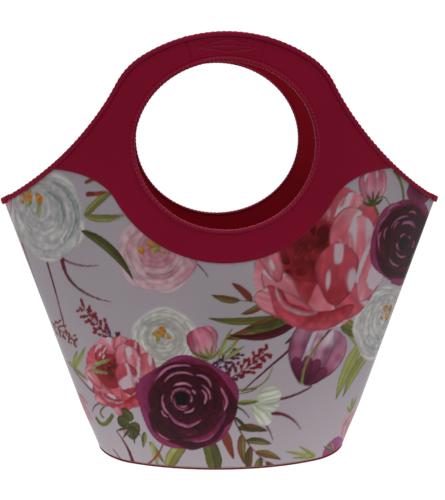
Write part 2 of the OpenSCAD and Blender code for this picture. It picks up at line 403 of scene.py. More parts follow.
# %% [markdown]
# ## The printed skin
# The skin is one sheet from the base up to under the facing. Its outer face carries the print, so it is
# meshed at about a millimetre; its inner face is hidden and is meshed four times coarser. The edges of the
# two are laced together, so the sheet is closed. At the foot the sheet turns under with a small radius.


# %% The skin's mesh
SKIN_COLS, SKIN_ROWS, COARSE = 356, 256, 4
FOOT_R, FOOT_TUCK = 3.0, 1.2


def skin_points(cols, rows, d):
    """Points of the skin at offset d, with the distance round the wall and the height of each."""
    share = np.linspace(-1, 1, cols)

    def place(z):
        return wall(facing_angle(share * half_girth(z, d), z, d), z, d)

    top = climb(place, lambda x: np.minimum(rim_z(x), yoke_z(x) + PRINT_LAP))
    rise = np.linspace(0, 1, rows)[:, None]
    z = COVER_T + (top[None, :] - COVER_T) * rise
    u = share[None, :] * half_girth(z, d)
    tuck = np.clip((COVER_T + FOOT_R - z) / FOOT_R, 0, 1)
    return wall(facing_angle(u, z, d), z, d - FOOT_TUCK * (1 - np.sqrt(1 - tuck**2))), u, z


def quads(grid):
    """Faces of a grid of vertex numbers."""
    return np.stack([grid[:-1, :-1], grid[:-1, 1:], grid[1:, 1:], grid[1:, :-1]], -1).reshape(-1, 4)


def laced_sheet(name, outer, inner, side):
    """A closed sheet from a fine outer grid and a coarser inner grid, laced together round the edge."""
    (r1, c1), (r2, c2) = outer.shape[:2], inner.shape[:2]
    fine = np.arange(r1 * c1).reshape(r1, c1)
    coarse = np.arange(r2 * c2).reshape(r2, c2) + r1 * c1
    faces = quads(fine).tolist() + quads(coarse)[:, ::-1].tolist()
    edges = [
        (fine[0], coarse[0], 1), (fine[-1], coarse[-1], -1),
        (fine[:, 0], coarse[:, 0], -1), (fine[:, -1], coarse[:, -1], 1),
    ]
    for near, far, turn in edges:
        step = (len(near) - 1) // (len(far) - 1)
        for k in range(len(far) - 1):
            run = list(near[k * step : (k + 1) * step + 1])
            loop = run[::-1] + [far[k], far[k + 1]]
            faces.append([int(v) for v in loop[::turn]])
    return mesh_piece(name, np.concatenate([outer.reshape(-1, 3), inner.reshape(-1, 3)]), faces, side)


# %% Both skins
skins, skin_maps = {}, {}
for side in ("front", "back"):
    outer, skin_u, skin_z = skin_points(SKIN_COLS + 1, SKIN_ROWS + 1, D_SKIN)
    inner, _, _ = skin_points(SKIN_COLS // COARSE + 1, SKIN_ROWS // COARSE + 1, D_PRINT + PLY_GAP)
    skins[side] = laced_sheet(f"{side}_printed_skin", outer, inner, side)
    skin_maps[side] = (skin_u, skin_z)
    smooth(skins[side])
    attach(skins[side], "bag")
    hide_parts(f"{side}_print_panel")
    print(skins[side].name, triangles(skins[side]), "triangles")

# %% [markdown]
# ## The print: brushes
# The print is a watercolour of ranunculus, peonies, a tulip, buds and leaves. It is painted here straight
# onto the skin's points, in millimetres on the flattened wall: u round it from the middle, z up it. Each
# brush finds the points under it, works out how far inside its own outline each one lies, and lays colour
# over them with a soft edge. Colours are mixed in display values, as a painter sees them.


# %% Colour, noise and soft edges
PAPER_WHITE = "#ddd5de"


def rgb(code):
    return np.array([int(code[i : i + 2], 16) / 255 for i in (1, 3, 5)])


def hashed(i, j, seed):
    n = np.sin(i * 127.1 + j * 311.7 + seed * 74.7) * 43758.5453
    return n - np.floor(n)


def noise(a, b, seed):
    """Smooth noise from 0 to 1 with one bump per unit."""
    i, j = np.floor(a), np.floor(b)
    f, g = a - i, b - j
    f, g = f * f * (3 - 2 * f), g * g * (3 - 2 * g)
    low = hashed(i, j, seed) * (1 - f) + hashed(i + 1, j, seed) * f
    high = hashed(i, j + 1, seed) * (1 - f) + hashed(i + 1, j + 1, seed) * f
    return low * (1 - g) + high * g


def soft(inside, blur=0.8):
    """0 outside to 1 inside, over blur millimetres."""
    t = np.clip(inside / blur + 0.5, 0, 1)
    return t * t * (3 - 2 * t)


def blend_colours(a, b, t):
    t = np.clip(t, 0, 1)[:, None]
    return a * (1 - t) + b * t


def pooled(inside, depth, width=1.1):
    """Pigment gathers at the edge of a wet stroke: a darker line just inside it."""
    return 1 - depth * np.exp(-(((inside - 0.5) / width) ** 2))


def toward(degrees):
    """A step of one millimetre in a direction on the sheet."""
    return np.array([math.cos(math.radians(degrees)), math.sin(math.radians(degrees))])


def turned(u, z, degrees):
    """Places measured along a direction and across it."""
    c, s = math.cos(math.radians(degrees)), math.sin(math.radians(degrees))
    return u * c + z * s, z * c - u * s


print("paper white", PAPER_WHITE, "as numbers", rgb(PAPER_WHITE).round(2))


# %% The sheet that takes the paint
class PrintSheet:
    """The flattened skin: places in mm and the colour laid on each."""

    def __init__(self, u, z, ground):
        self.u, self.z = u.ravel(), z.ravel()
        wash = noise(self.u / 45, self.z / 45, 3)[:, None] - 0.5
        self.colour = rgb(ground) * (1 + 0.05 * wash)

    def under(self, at, reach):
        near = np.flatnonzero((np.abs(self.u - at[0]) < reach) & (np.abs(self.z - at[1]) < reach))
        return near, self.u[near] - at[0], self.z[near] - at[1]

    def lay(self, near, colour, cover):
        cover = np.clip(cover, 0, 1)[:, None]
        self.colour[near] = self.colour[near] * (1 - cover) + np.clip(colour, 0, 1) * cover


# %% A petal
def petal(sheet, base, angle, length, width, root, tip, seed, pool=0.18, streak=0.3, cover=1.0, gap=0.0):
    """A rounded petal from its base out to its tip."""
    near, u, z = sheet.under(base, length + width)
    along, side = turned(u, z, angle)
    t = along / length
    bulge = np.sqrt(np.clip(1 - ((t - 0.53) / 0.5) ** 2, 0, 1)) * (0.72 + 0.42 * t)
    half = width / 2 * bulge * (0.92 + 0.2 * noise(t * 4 + seed, np.sign(side) * 3.0, seed))
    inside = half - np.abs(side)
    fibres = noise(side / width * 9 + seed, t * 1.6, seed + 1)
    bloom = noise(u / 7, z / 7, seed + 2)
    tone = blend_colours(rgb(root), rgb(tip), t * 0.9 + 0.5 * (bloom - 0.4))
    tone = tone * (1 - streak * (fibres - 0.45))[:, None] * pooled(inside, pool)[:, None]
    if gap:
        dry = soft(noise(side / width * 5 + 7, t * 2.2 + seed, seed + 5) - (1 - gap), 0.12) * (t > 0.25)
        tone = blend_colours(tone, rgb(PAPER_WHITE), dry * 0.85)
    sheet.lay(near, tone, soft(inside) * cover * (half > 0.05))


# %% A crescent, a disc and blots
def crescent(
    sheet, at, radius, aim, span, thick, inner, outer, seed, squash=1.0, tilt=0.0, cover=1.0, pool=0.15
):
    """A bowed petal seen from its edge, part of a ring round the flower's middle."""
    near, u, z = sheet.under(at, radius * 1.25 + 2)
    a, b = turned(u, z, tilt)
    b = b / squash
    r, theta = np.hypot(a, b), np.degrees(np.arctan2(b, a))
    off = ((theta - aim + 180) % 360 - 180) / span
    body = thick * np.clip(1 - off**2, 0, 1) ** 0.45
    rim = radius * (1 - 0.1 * off**2 + 0.07 * (noise(theta / 17 + seed, 0.5 * seed, seed) - 0.5))
    across = (r - rim + body) / np.maximum(body, 0.01)
    inside = np.minimum(r - rim + body, rim - r) * min(1.0, squash + 0.2)
    streaks = noise(theta / 6 + seed, r / 5, seed + 3)
    tone = blend_colours(rgb(inner), rgb(outer), np.clip(across, 0, 1) ** 1.3 + 0.5 * (streaks - 0.5))
    tone = tone * (1 - 0.22 * (noise(u / 4, z / 4, seed + 9) - 0.5))[:, None] * pooled(inside, pool)[:, None]
    sheet.lay(near, tone, soft(inside, 0.9) * cover * (np.abs(off) < 1))


def disc(sheet, at, radius, middle, edge, seed, squash=1.0, tilt=0.0, lobes=5, cover=1.0, pool=0.15):
    """A flower's whole outline, with a few soft lobes."""
    near, u, z = sheet.under(at, radius * 1.3 + 2)
    a, b = turned(u, z, tilt)
    b = b / squash
    r, theta = np.hypot(a, b), np.arctan2(b, a)
    lumps = 0.035 * np.cos(lobes * theta + seed) + 0.08 * (noise(theta * 2.2 + seed, 1.0, seed) - 0.5)
    rim = radius * (1 + lumps)
    inside = rim - r
    tone = blend_colours(rgb(middle), rgb(edge), r / rim + 0.4 * (noise(u / 9, z / 9, seed) - 0.5))
    sheet.lay(near, tone * pooled(inside, pool)[:, None], soft(inside) * cover)


def blots(sheet, at, spread, size, shades, count, seed):
    """A cluster of small irregular blots, as in a flower's heart."""
    chance = np.random.default_rng(seed)
    for k in range(count):
        place = np.array(at) + chance.normal(0, spread / 2, 2)
        angle, long = chance.uniform(0, 180), size * chance.uniform(0.6, 1.5)
        root, tip = shades[k % len(shades)], shades[(k + 1) % len(shades)]
        petal(sheet, place, angle, long, long * chance.uniform(0.45, 0.8), root, tip, seed + k, pool=0.1)


# %% A leaf and a stem
def leaf(sheet, base, tip, width, near_side, far_side, seed, bend=0.0, rib=0.25, pool=0.2, blunt=0.5):
    """A leaf from base to tip, bowed sideways by bend, each half with its own wash."""
    base, tip = np.array(base, float), np.array(tip, float)
    middle, long = (base + tip) / 2, np.linalg.norm(tip - base)
    near, u, z = sheet.under(middle, long / 2 + abs(bend) + width)
    c, s = (tip - base) / long
    t, side = (u * c + z * s) / long + 0.5, z * c - u * s
    side = side - bend * 4 * np.clip(t, 0, 1) * (1 - np.clip(t, 0, 1))
    inner = np.clip(t, 0, 1)
    half = width / 2 * 1.75 * (inner**blunt) * ((1 - inner) ** 0.8) * (0.92 + 0.16 * noise(t * 5, 1.0, seed))
    inside = half - np.abs(side)
    wash = noise(u / 6 + seed, z / 6, seed) * 0.7 + noise(u / 2.5, z / 2.5, seed + 1) * 0.3
    tone = blend_colours(rgb(near_side), rgb(far_side), soft(side, 1.2) * 0.7 + 0.7 * (wash - 0.35))
    tone = tone * (1 - rib * np.exp(-((side / 0.45) ** 2)))[:, None] * pooled(inside, pool, 0.8)[:, None]
    sheet.lay(near, tone, soft(inside, 0.7) * (t > 0) * (t < 1))


def stem(sheet, points, start_w, end_w, colour, seed=1):
    """A stem through two or three points, drawn as one bow that tapers."""
    points = np.array(points, float)
    count = int(np.linalg.norm(points[-1] - points[0])) + 12
    if len(points) == 2:
        line = np.linspace(points[0], points[1], count)
    else:
        t = np.linspace(0, 1, count)[:, None]
        pull = 2 * points[1] - (points[0] + points[2]) / 2
        line = (1 - t) ** 2 * points[0] + 2 * t * (1 - t) * pull + t**2 * points[2]
    middle = (line.min(0) + line.max(0)) / 2
    near, u, z = sheet.under(middle, np.abs(line - middle).max() + start_w + 2)
    gap = np.hypot(u[:, None] + middle[0] - line[None, :, 0], z[:, None] + middle[1] - line[None, :, 1])
    nearest = gap.argmin(1)
    width = start_w + (end_w - start_w) * nearest / (len(line) - 1)
    width = width * (0.85 + 0.3 * noise(u / 3, z / 3, seed))
    tone = rgb(colour) * (0.85 + 0.3 * noise(u / 4, z / 4, seed + 2))[:, None]
    sheet.lay(near, tone, soft(width / 2 - gap.min(1), 0.7))


# %% Sprigs of berries and of leaves
def bowed_twig(sheet, start, end, bend, start_w, end_w, colour, seed):
    """A bowed stem. Returns its place at a share of its length, as a function, and its heading."""
    start, end = np.array(start, float), np.array(end, float)
    run = end - start
    across = np.array([-run[1], run[0]]) / np.linalg.norm(run)
    stem(sheet, [start, (start + end) / 2 + across * bend, end], start_w, end_w, colour, seed)

    def along(t):
        return start + run * t + across * bend * 4 * t * (1 - t)

    return along, math.degrees(math.atan2(run[1], run[0]))


def berry_sprig(sheet, start, end, bend, pairs, size, berry, twig, seed, fade=None):
    """A twig with small longish berries on short stalks to both sides."""
    along, way = bowed_twig(sheet, start, end, bend, 1.1, 0.5, twig, seed)
    chance = np.random.default_rng(seed)
    for k in range(pairs):
        t = 0.1 + 0.9 * k / pairs
        root = along(t)
        shade = fade if fade and t < 0.35 else berry
        for turn in (-1, 1):
            angle = way + turn * chance.uniform(22, 50)
            stalk = toward(angle) * (size * chance.uniform(1.2, 2.6) * (1.25 - 0.8 * t))
            stem(sheet, [root, root + stalk], 0.6, 0.5, twig, seed + k)
            for j in range(3):
                at = root + stalk * (0.25 + 0.4 * j) + chance.normal(0, 0.5, 2)
                lean, long = angle + chance.uniform(-30, 30), size * chance.uniform(0.9, 1.4)
                petal(sheet, at, lean, long, size * 0.66, shade, berry, seed + 7 * k + j, pool=0.1)


def leaf_sprig(sheet, start, end, bend, count, size, shades, twig, seed):
    """A bowed twig with leaves to both sides and one at its end."""
    along, way = bowed_twig(sheet, start, end, bend, 1.6, 0.7, twig, seed)
    chance = np.random.default_rng(seed)
    for k in range(count):
        root = along(0.22 + 0.72 * k / max(count - 1, 1))
        turn = 0 if k == count - 1 else (-1) ** k * chance.uniform(28, 46)
        long = size * chance.uniform(0.85, 1.15)
        near_side, far_side = shades[k % len(shades)], shades[(k + 1) % len(shades)]
        tip = root + long * toward(way + turn)
        leaf(sheet, root, tip, long * 0.36, near_side, far_side, seed + k, bend=(-1) ** k * long * 0.05)


# %% A ranunculus
def ranunculus(
    sheet, at, size, shades, seed, squash=1.0, tilt=0.0, rings=7, heart=(0.0, 0.0), glint=None, depth=0.35
):
    """Many thin bowed petals in rings that close in on the heart. shades run from the shadow to the rim."""
    chance = np.random.default_rng(seed)
    dark, middle, light = shades
    disc(sheet, at, size, middle, light, seed, squash, tilt, cover=0.95)
    for k in range(rings):
        share = k / rings
        radius = size * (0.97 - 0.84 * share)
        shift = np.array(heart) * share
        place = (at[0] + shift[0], at[1] + shift[1])
        count = chance.integers(3, 6) if k < rings - 2 else 3
        first = chance.uniform(0, 360)
        for j in range(count):
            aim = first + j * 360 / count + chance.uniform(-18, 18)
            deep = chance.random() < depth + 0.5 * share
            reach, span = radius * chance.uniform(0.94, 1.03), 230 / count * chance.uniform(0.7, 1.2)
            thick = size * chance.uniform(0.14, 0.34)
            inner = dark if deep else middle
            outer = middle if deep or chance.random() < 0.3 + 0.4 * share else light
            turn = seed + 11 * k + j
            crescent(sheet, place, reach, aim, span, thick, inner, outer, turn, squash, tilt, cover=0.9)
        for _ in range(2 if glint else 0):
            reach, aim = radius * chance.uniform(0.88, 1), chance.uniform(0, 360)
            span, turn = chance.uniform(12, 34), seed + k
            crescent(sheet, place, reach, aim, span, size * 0.05, glint, glint, turn, squash, tilt, 0.75, 0.0)


# %% A peony
def peony(sheet, at, size, shades, seed, lean=0.0, squash=0.92):
    """A cup of broad petals, each a wash with a dry-brush white, round a dark ragged heart."""
    chance = np.random.default_rng(seed)
    heart, deep, coral, pale = shades
    turn = math.radians(lean)
    ahead = np.array([[math.cos(turn), -math.sin(turn)], [math.sin(turn), math.cos(turn)]])

    def spot(a, b):
        return np.array(at) + ahead @ (np.array([a, b]) * size)

    disc(sheet, at, size * 0.82, deep, coral, seed, squash)
    for k in range(9):
        angle = 40 * k + chance.uniform(-10, 10)
        base = np.array(at) + toward(angle) * [1, squash] * size * 0.24
        length, width = size * chance.uniform(0.72, 0.8), size * chance.uniform(0.78, 0.95)
        root, tip = coral if k % 3 else deep, pale if k % 2 else coral
        petal(sheet, base, angle, length, width, root, tip, seed + k, gap=0.24, streak=0.22)
    disc(sheet, spot(-0.12, 0.1), size * 0.52, heart, deep, seed + 40, squash * 0.9, lean)
    blots(sheet, spot(-0.16, 0.14), size * 0.34, size * 0.2, (heart, deep, heart), 18, seed + 41)
    near_petals = [
        (-0.48, 0.46, 40, 0.5, 0.34, deep, coral), (0.3, 0.3, 72, 0.6, 0.5, coral, pale),
        (0.42, 0.06, 62, 0.72, 0.48, deep, coral), (0.12, 0.12, 50, 0.66, 0.5, coral, pale),
        (0.6, -0.25, 92, 0.8, 0.46, coral, pale), (0.62, -0.66, 68, 0.98, 0.54, pale, coral),
        (0.2, -0.68, 88, 0.86, 0.66, deep, coral), (-0.3, -0.62, 138, 0.72, 0.36, coral, pale),
        (-0.08, -0.78, 160, 0.92, 0.38, coral, pale), (-0.62, -0.3, 112, 0.6, 0.3, coral, pale),
    ]
    for k, (a, b, angle, length, width, root, tip) in enumerate(near_petals):
        length, width = length * size, width * size
        petal(sheet, spot(a, b), angle + lean, length, width, root, tip, seed + 60 + k, 0.3, 0.22, gap=0.3)
    crescent(sheet, spot(-0.03, -0.12), size * 0.88, 255 + lean, 60, size * 0.28, deep, coral, seed + 80)
    lip_at, lip_w = spot(-0.06, -0.08), size * 0.07
    crescent(sheet, lip_at, size * 0.74, 236 + lean, 34, lip_w, coral, PAPER_WHITE, seed + 81)


# %% A rosebud and a tulip
def rosebud(sheet, base, angle, length, shades, green, seed):
    """A closed bud: three overlapping petals in green sepals."""
    deep, middle, pale = shades
    for turn, width, colour in ((-16, 0.62, middle), (15, 0.62, deep), (0, 0.66, middle)):
        petal(sheet, base, angle + turn, length, length * width, pale, colour, seed + turn, 0.25, gap=0.12)
    for turn in (-62, -28, 0, 30, 65):
        tip = np.array(base) + length * 0.42 * toward(angle + turn)
        leaf(sheet, base, tip, length * 0.13, green, green, seed + turn, bend=turn * 0.02)


def tulip_head(sheet, base, angle, length, shades, seed):
    deep, mauve, pale = shades
    petal(sheet, base, angle + 17, length, length * 0.62, deep, mauve, seed, pool=0.3)
    petal(sheet, base, angle - 19, length * 0.98, length * 0.6, deep, mauve, seed + 1, pool=0.3)
    petal(sheet, base, angle - 2, length * 0.95, length * 0.5, deep, pale, seed + 2, pool=0.3, gap=0.3)
    for turn in (-40, -12, 14, 42):
        long, wide = length * 0.46, length * 0.2
        petal(sheet, base, angle + turn, long, wide, "#4a0f2c", deep, seed + turn, cover=0.85)


print("brushes: petal, crescent, disc, blots, leaf, stem, sprigs, ranunculus, peony, rosebud, tulip")

# %% [markdown]
# ## The print: the arrangement
# Every motif stands at a place (u, z) in millimetres on the flattened wall. The ones that lie behind are
# painted first. The front has two bunches, low left of the middle and high on the right, with single
# blooms between; the back has the same flowers in an arrangement of its own.

# %% Paints
GROUND = "#c0b5bd"
LEAF_DARK, LEAF_OLIVE, LEAF_MOSS = "#4f4b27", "#847d3f", "#676a32"
LEAF_LIGHT, LEAF_LIME = "#aeae65", "#ccd27a"
LEAF_BROWN, LEAF_RUST, TWIG, WINE_STEM = "#82492b", "#943d2f", "#612732", "#67222f"
PLUM, BERRY = "#592a4d", "#921f2f"
WHITE_SHADES = ("#b9bab9", "#d9d3d4", "#ebe6e3")
IVORY_SHADES = ("#bfbaae", "#dbd6d0", "#ece8e2")
BLUSH_SHADES = ("#ca7d8d", "#dda2ae", "#e9cad2")
WINE_SHADES = ("#150b0f", "#560c22", "#983065")
CORAL_SHADES = ("#650a11", "#ad2a37", "#d8596a", "#e99aa6")
ROSE_SHADES = ("#bd4363", "#d96e89", "#eab0bc")
TULIP_SHADES = ("#7d224a", "#c98ea8", "#dab9ca")
ORANGE, AMBER, OLIVE_HEART = "#ec6b1d", "#e6b54a", "#9d9562"
print("the ground of the print", GROUND)


# %% The front: stems and leaves that lie behind
def paint_behind(s):
    stem(s, [(-163, 178), (-155, 147), (-146, 108)], 2.6, 1.0, TWIG, 11)
    stem(s, [(-145, 177), (-133, 154), (-99, 142)], 4.2, 0.8, WINE_STEM, 12)
    stem(s, [(-143, 176), (-127, 172), (-109, 173)], 1.8, 0.7, WINE_STEM, 13)
    stem(s, [(-190, 188), (-181, 160), (-175, 138)], 1.8, 0.8, TWIG, 191)
    stem(s, [(-198, 178), (-193, 150)], 1.6, 0.8, LEAF_OLIVE, 192)
    leaf(s, (24, 179), (36, 181), 4, LEAF_LIME, LEAF_LIGHT, 193, bend=1)
    stem(s, [(-28, 179), (-21, 174), (-15, 166)], 1.4, 0.7, TWIG, 194)
    stem(s, [(-118, 243), (-107, 248)], 3.0, 3.6, LEAF_BROWN, 14)
    stem(s, [(-117, 233), (-101, 234)], 4.2, 4.0, LEAF_RUST, 15)
    leaf(s, (-121, 214), (-92, 237), 9, LEAF_OLIVE, LEAF_LIGHT, 16, bend=2)
    leaf(s, (-121, 215), (-84, 217), 9, LEAF_LIGHT, LEAF_OLIVE, 17, bend=-3)
    berry_sprig(s, (-83, 102), (-128, 138), 3, 9, 4.0, BERRY, TWIG, 20, PLUM)
    berry_sprig(s, (-166, 118), (-134, 101), 1, 5, 3.2, LEAF_RUST, TWIG, 21)
    stem(s, [(-112, 58), (-124, 62), (-142, 78)], 1.8, 1.2, TWIG, 22)
    stem(s, [(-100, 52), (-116, 50), (-124, 42)], 1.8, 1.0, TWIG, 23)
    for tip, side in (((-135, 96), 1), ((-126, 101), -1), ((-150, 84), -1)):
        leaf(s, (-141, 79), tip, 6, LEAF_LIME, LEAF_LIGHT, 24 + side, bend=side)
    leaf(s, (-141, 79), (-126, 70), 5, LEAF_LIGHT, LEAF_LIGHT, 27)
    berry_sprig(s, (-8, 74), (35, 104), -3, 8, 4.2, BERRY, TWIG, 30, PLUM)
    berry_sprig(s, (-14, 84), (12, 101), 2, 5, 3.4, PLUM, PLUM, 31)
    leaf(s, (-6, 96), (6, 123), 5, LEAF_LIME, LEAF_LIGHT, 32, bend=1)
    leaf(s, (-3, 99), (15, 120), 4.5, LEAF_LIGHT, LEAF_LIME, 33, bend=-1)
    leaf(s, (-1, 96), (16, 107), 4.5, LEAF_LIME, LEAF_LIGHT, 34)
    stem(s, [(4, 70), (28, 72), (40, 88)], 2.6, 0.9, LEAF_OLIVE, 35)
    stem(s, [(5, 66), (18, 67), (26, 70)], 1.0, 0.7, PLUM, 36)
    stem(s, [(90, 122), (58, 104), (14, 68)], 3.8, 1.2, TWIG, 37)
    stem(s, [(76, 68), (60, 62), (42, 59)], 1.6, 2.4, TWIG, 38)
    stem(s, [(37, 48), (54, 44), (67, 31)], 4.0, 0.7, WINE_STEM, 39)
    stem(s, [(33, 40), (38, 32), (41, 24)], 1.8, 0.7, WINE_STEM, 40)
    leaf_sprig(s, (6, 48), (38, 3), -4, 7, 24, (LEAF_DARK, LEAF_BROWN, LEAF_OLIVE), TWIG, 41)
    leaf(s, (8, 46), (20, 34), 4, LEAF_DARK, LEAF_DARK, 42)
    stem(s, [(6, 56), (14, 52), (20, 45)], 2.4, 0.8, LEAF_DARK, 43)


# %% The front: the low bunch
def paint_low_bunch(s):
    leaf(s, (-33, 26), (-52, -6), 17, LEAF_LIGHT, LEAF_OLIVE, 50, bend=-2)
    leaf(s, (-16, 28), (-8, -8), 19, LEAF_MOSS, LEAF_DARK, 51, bend=2)
    leaf(s, (-2, 36), (7, 9), 10, LEAF_RUST, LEAF_BROWN, 52)
    leaf(s, (-66, 22), (-52, 3), 6, LEAF_LIGHT, LEAF_OLIVE, 53)
    leaf(s, (-64, 22), (-58, -2), 6, LEAF_LIME, LEAF_LIGHT, 54)
    leaf(s, (-70, 30), (-72, 16), 7, LEAF_MOSS, LEAF_LIGHT, 55)
    stem(s, [(-54, 20), (-60, 9), (-70, 0)], 1.4, 2.0, LEAF_RUST, 56)
    stem(s, [(-98, 27), (-88, 14), (-83, 1)], 1.0, 3.6, WINE_STEM, 57)
    stem(s, [(-104, 9), (-95, 1)], 0.8, 1.4, WINE_STEM, 58)
    stem(s, [(-104, 52), (-114, 44), (-112, 38)], 1.4, 2.4, LEAF_MOSS, 59)
    stem(s, [(-120, 35), (-112, 31), (-102, 41)], 3.6, 4.2, LEAF_MOSS, 60)
    ranunculus(s, (-52, 113), 29, IVORY_SHADES, 61, 0.93, rings=7)
    crescent(s, (-48, 102), 22, -70, 62, 7, WHITE_SHADES[0], WHITE_SHADES[2], 62)
    crescent(s, (-40, 100), 18, -40, 50, 8, WHITE_SHADES[1], BLUSH_SHADES[2], 63)
    blots(s, (-53, 118), 9, 6, (OLIVE_HEART, AMBER, OLIVE_HEART), 7, 64)
    blots(s, (-51, 117), 6, 4.5, (ORANGE, AMBER), 6, 65)
    peony(s, (-95, 80), 33, CORAL_SHADES, 70, lean=20, squash=1.0)
    blots(s, (-104, 78), 8, 5, (CORAL_SHADES[0], CORAL_SHADES[1]), 8, 71)
    leaf(s, (-120, 84), (-100, 92), 5, LEAF_LIGHT, LEAF_LIME, 72)
    leaf(s, (-123, 80), (-103, 79), 4.5, LEAF_LIME, LEAF_LIGHT, 73)
    rosebud(s, (-13, 96), 112, 28, ROSE_SHADES, LEAF_LIGHT, 74)
    leaf(s, (-14, 97), (-30, 104), 4, LEAF_MOSS, LEAF_LIGHT, 75, bend=2)
    for place, way, long in (((-80, 40), 155, 15), ((-76, 38), 235, 17), ((-84, 40), 200, 13)):
        petal(s, place, way, long, long * 0.8, LEAF_MOSS, LEAF_DARK, way, pool=0.3)
    petal(s, (-92, 42), 130, 9, 6, ROSE_SHADES[1], ROSE_SHADES[2], 77)
    petal(s, (-86, 34), 250, 9, 7, ROSE_SHADES[1], ROSE_SHADES[2], 78)
    for tip in ((-92, 22), (-80, 18), (-74, 26), (-98, 28)):
        leaf(s, (-82, 34), tip, 4, LEAF_MOSS, LEAF_DARK, -tip[0])
    ranunculus(s, (-32, 58), 43, WINE_SHADES, 80, 0.95, rings=9, heart=(-5, 4), glint="#e192b5", depth=0.62)
    disc(s, (-38, 62), 6, WINE_SHADES[0], WINE_SHADES[0], 81, cover=0.9)
    crescent(s, (-37, 61), 10, 100, 100, 3.2, WINE_SHADES[1], "#e192b5", 82)
    crescent(s, (-36, 60), 8.5, 235, 70, 2.6, WINE_SHADES[1], "#e192b5", 83)
    crescent(s, (-33, 57), 20, 262, 52, 3.0, WINE_SHADES[2], "#e192b5", 84)
    pale_petals = ((24, 58), 30, 23), ((23, 58), -52, 24), ((24, 58), -12, 22), ((24, 60), 10, 24)
    for place, way, long in pale_petals:
        petal(s, place, way, long, long * 0.62, "#c4cab2", "#dad9cc", way + 90, pool=0.12)
    leaf(s, (10, 58), (28, 59), 6, LEAF_MOSS, LEAF_LIME, 85)


# %% The front: the high bunch
def paint_high_bunch(s):
    leaf(s, (101, 126), (136, 88), 17, LEAF_LIGHT, LEAF_OLIVE, 90, bend=3)
    leaf(s, (131, 104), (103, 53), 17, LEAF_LIGHT, "#a2a259", 91, bend=-3)
    leaf(s, (145, 96), (111, 54), 14, "#95954f", LEAF_LIGHT, 92, bend=-4)
    leaf(s, (104, 118), (131, 106), 12, LEAF_MOSS, LEAF_OLIVE, 93)
    leaf(s, (94, 126), (50, 107), 12, LEAF_DARK, LEAF_OLIVE, 94, bend=-2)
    leaf_sprig(s, (66, 134), (8, 146), -2, 5, 22, (LEAF_RUST, LEAF_BROWN, LEAF_OLIVE), TWIG, 95)
    leaf(s, (40, 131), (-15, 131), 9, LEAF_MOSS, LEAF_OLIVE, 96, bend=3)
    leaf(s, (36, 128), (0, 113), 13, LEAF_BROWN, LEAF_OLIVE, 97, bend=2)
    leaf(s, (60, 131), (16, 122), 15, LEAF_DARK, LEAF_MOSS, 98, bend=4)
    leaf(s, (68, 132), (2, 117), 10, WINE_SHADES[1], WINE_STEM, 99, bend=9)
    stem(s, [(120, 130), (96, 128), (70, 118)], 2.8, 2.0, TWIG, 100)
    stem(s, [(152, 250), (161, 238), (165, 222)], 3.2, 2.2, LEAF_MOSS, 101)
    stem(s, [(172, 244), (174, 226)], 1.4, 1.2, TWIG, 102)
    disc(s, (184, 233), 16, WINE_SHADES[1], WINE_SHADES[2], 103)
    ranunculus(s, (152, 116), 35, WHITE_SHADES, 104, 0.98, rings=7, heart=(6, 4))
    blots(s, (159, 122), 8, 6, (ORANGE, AMBER, OLIVE_HEART), 8, 105)
    tulip_head(s, (68, 70), 66, 56, TULIP_SHADES, 106)
    stem(s, [(67, 72), (76, 98), (106, 126)], 3.0, 1.4, LEAF_OLIVE, 107)
    stem(s, [(84, 108), (96, 120), (104, 126)], 1.2, 1.0, PLUM, 108)
    peony(s, (84, 178), 62, CORAL_SHADES, 110)
    ranunculus(s, (171, 188), 38, WINE_SHADES, 120, 1.05, 70, rings=9, glint="#cd7aa8", depth=0.62)
    disc(s, (169, 186), 5, WINE_SHADES[0], WINE_SHADES[0], 121, cover=0.9)
    rosebud(s, (131, 222), 93, 30, ROSE_SHADES, LEAF_MOSS, 130)
    stem(s, [(131, 222), (140, 229), (149, 221)], 1.4, 1.0, LEAF_MOSS, 131)
    stem(s, [(132, 222), (136, 214), (141, 208)], 1.6, 1.6, LEAF_MOSS, 132)


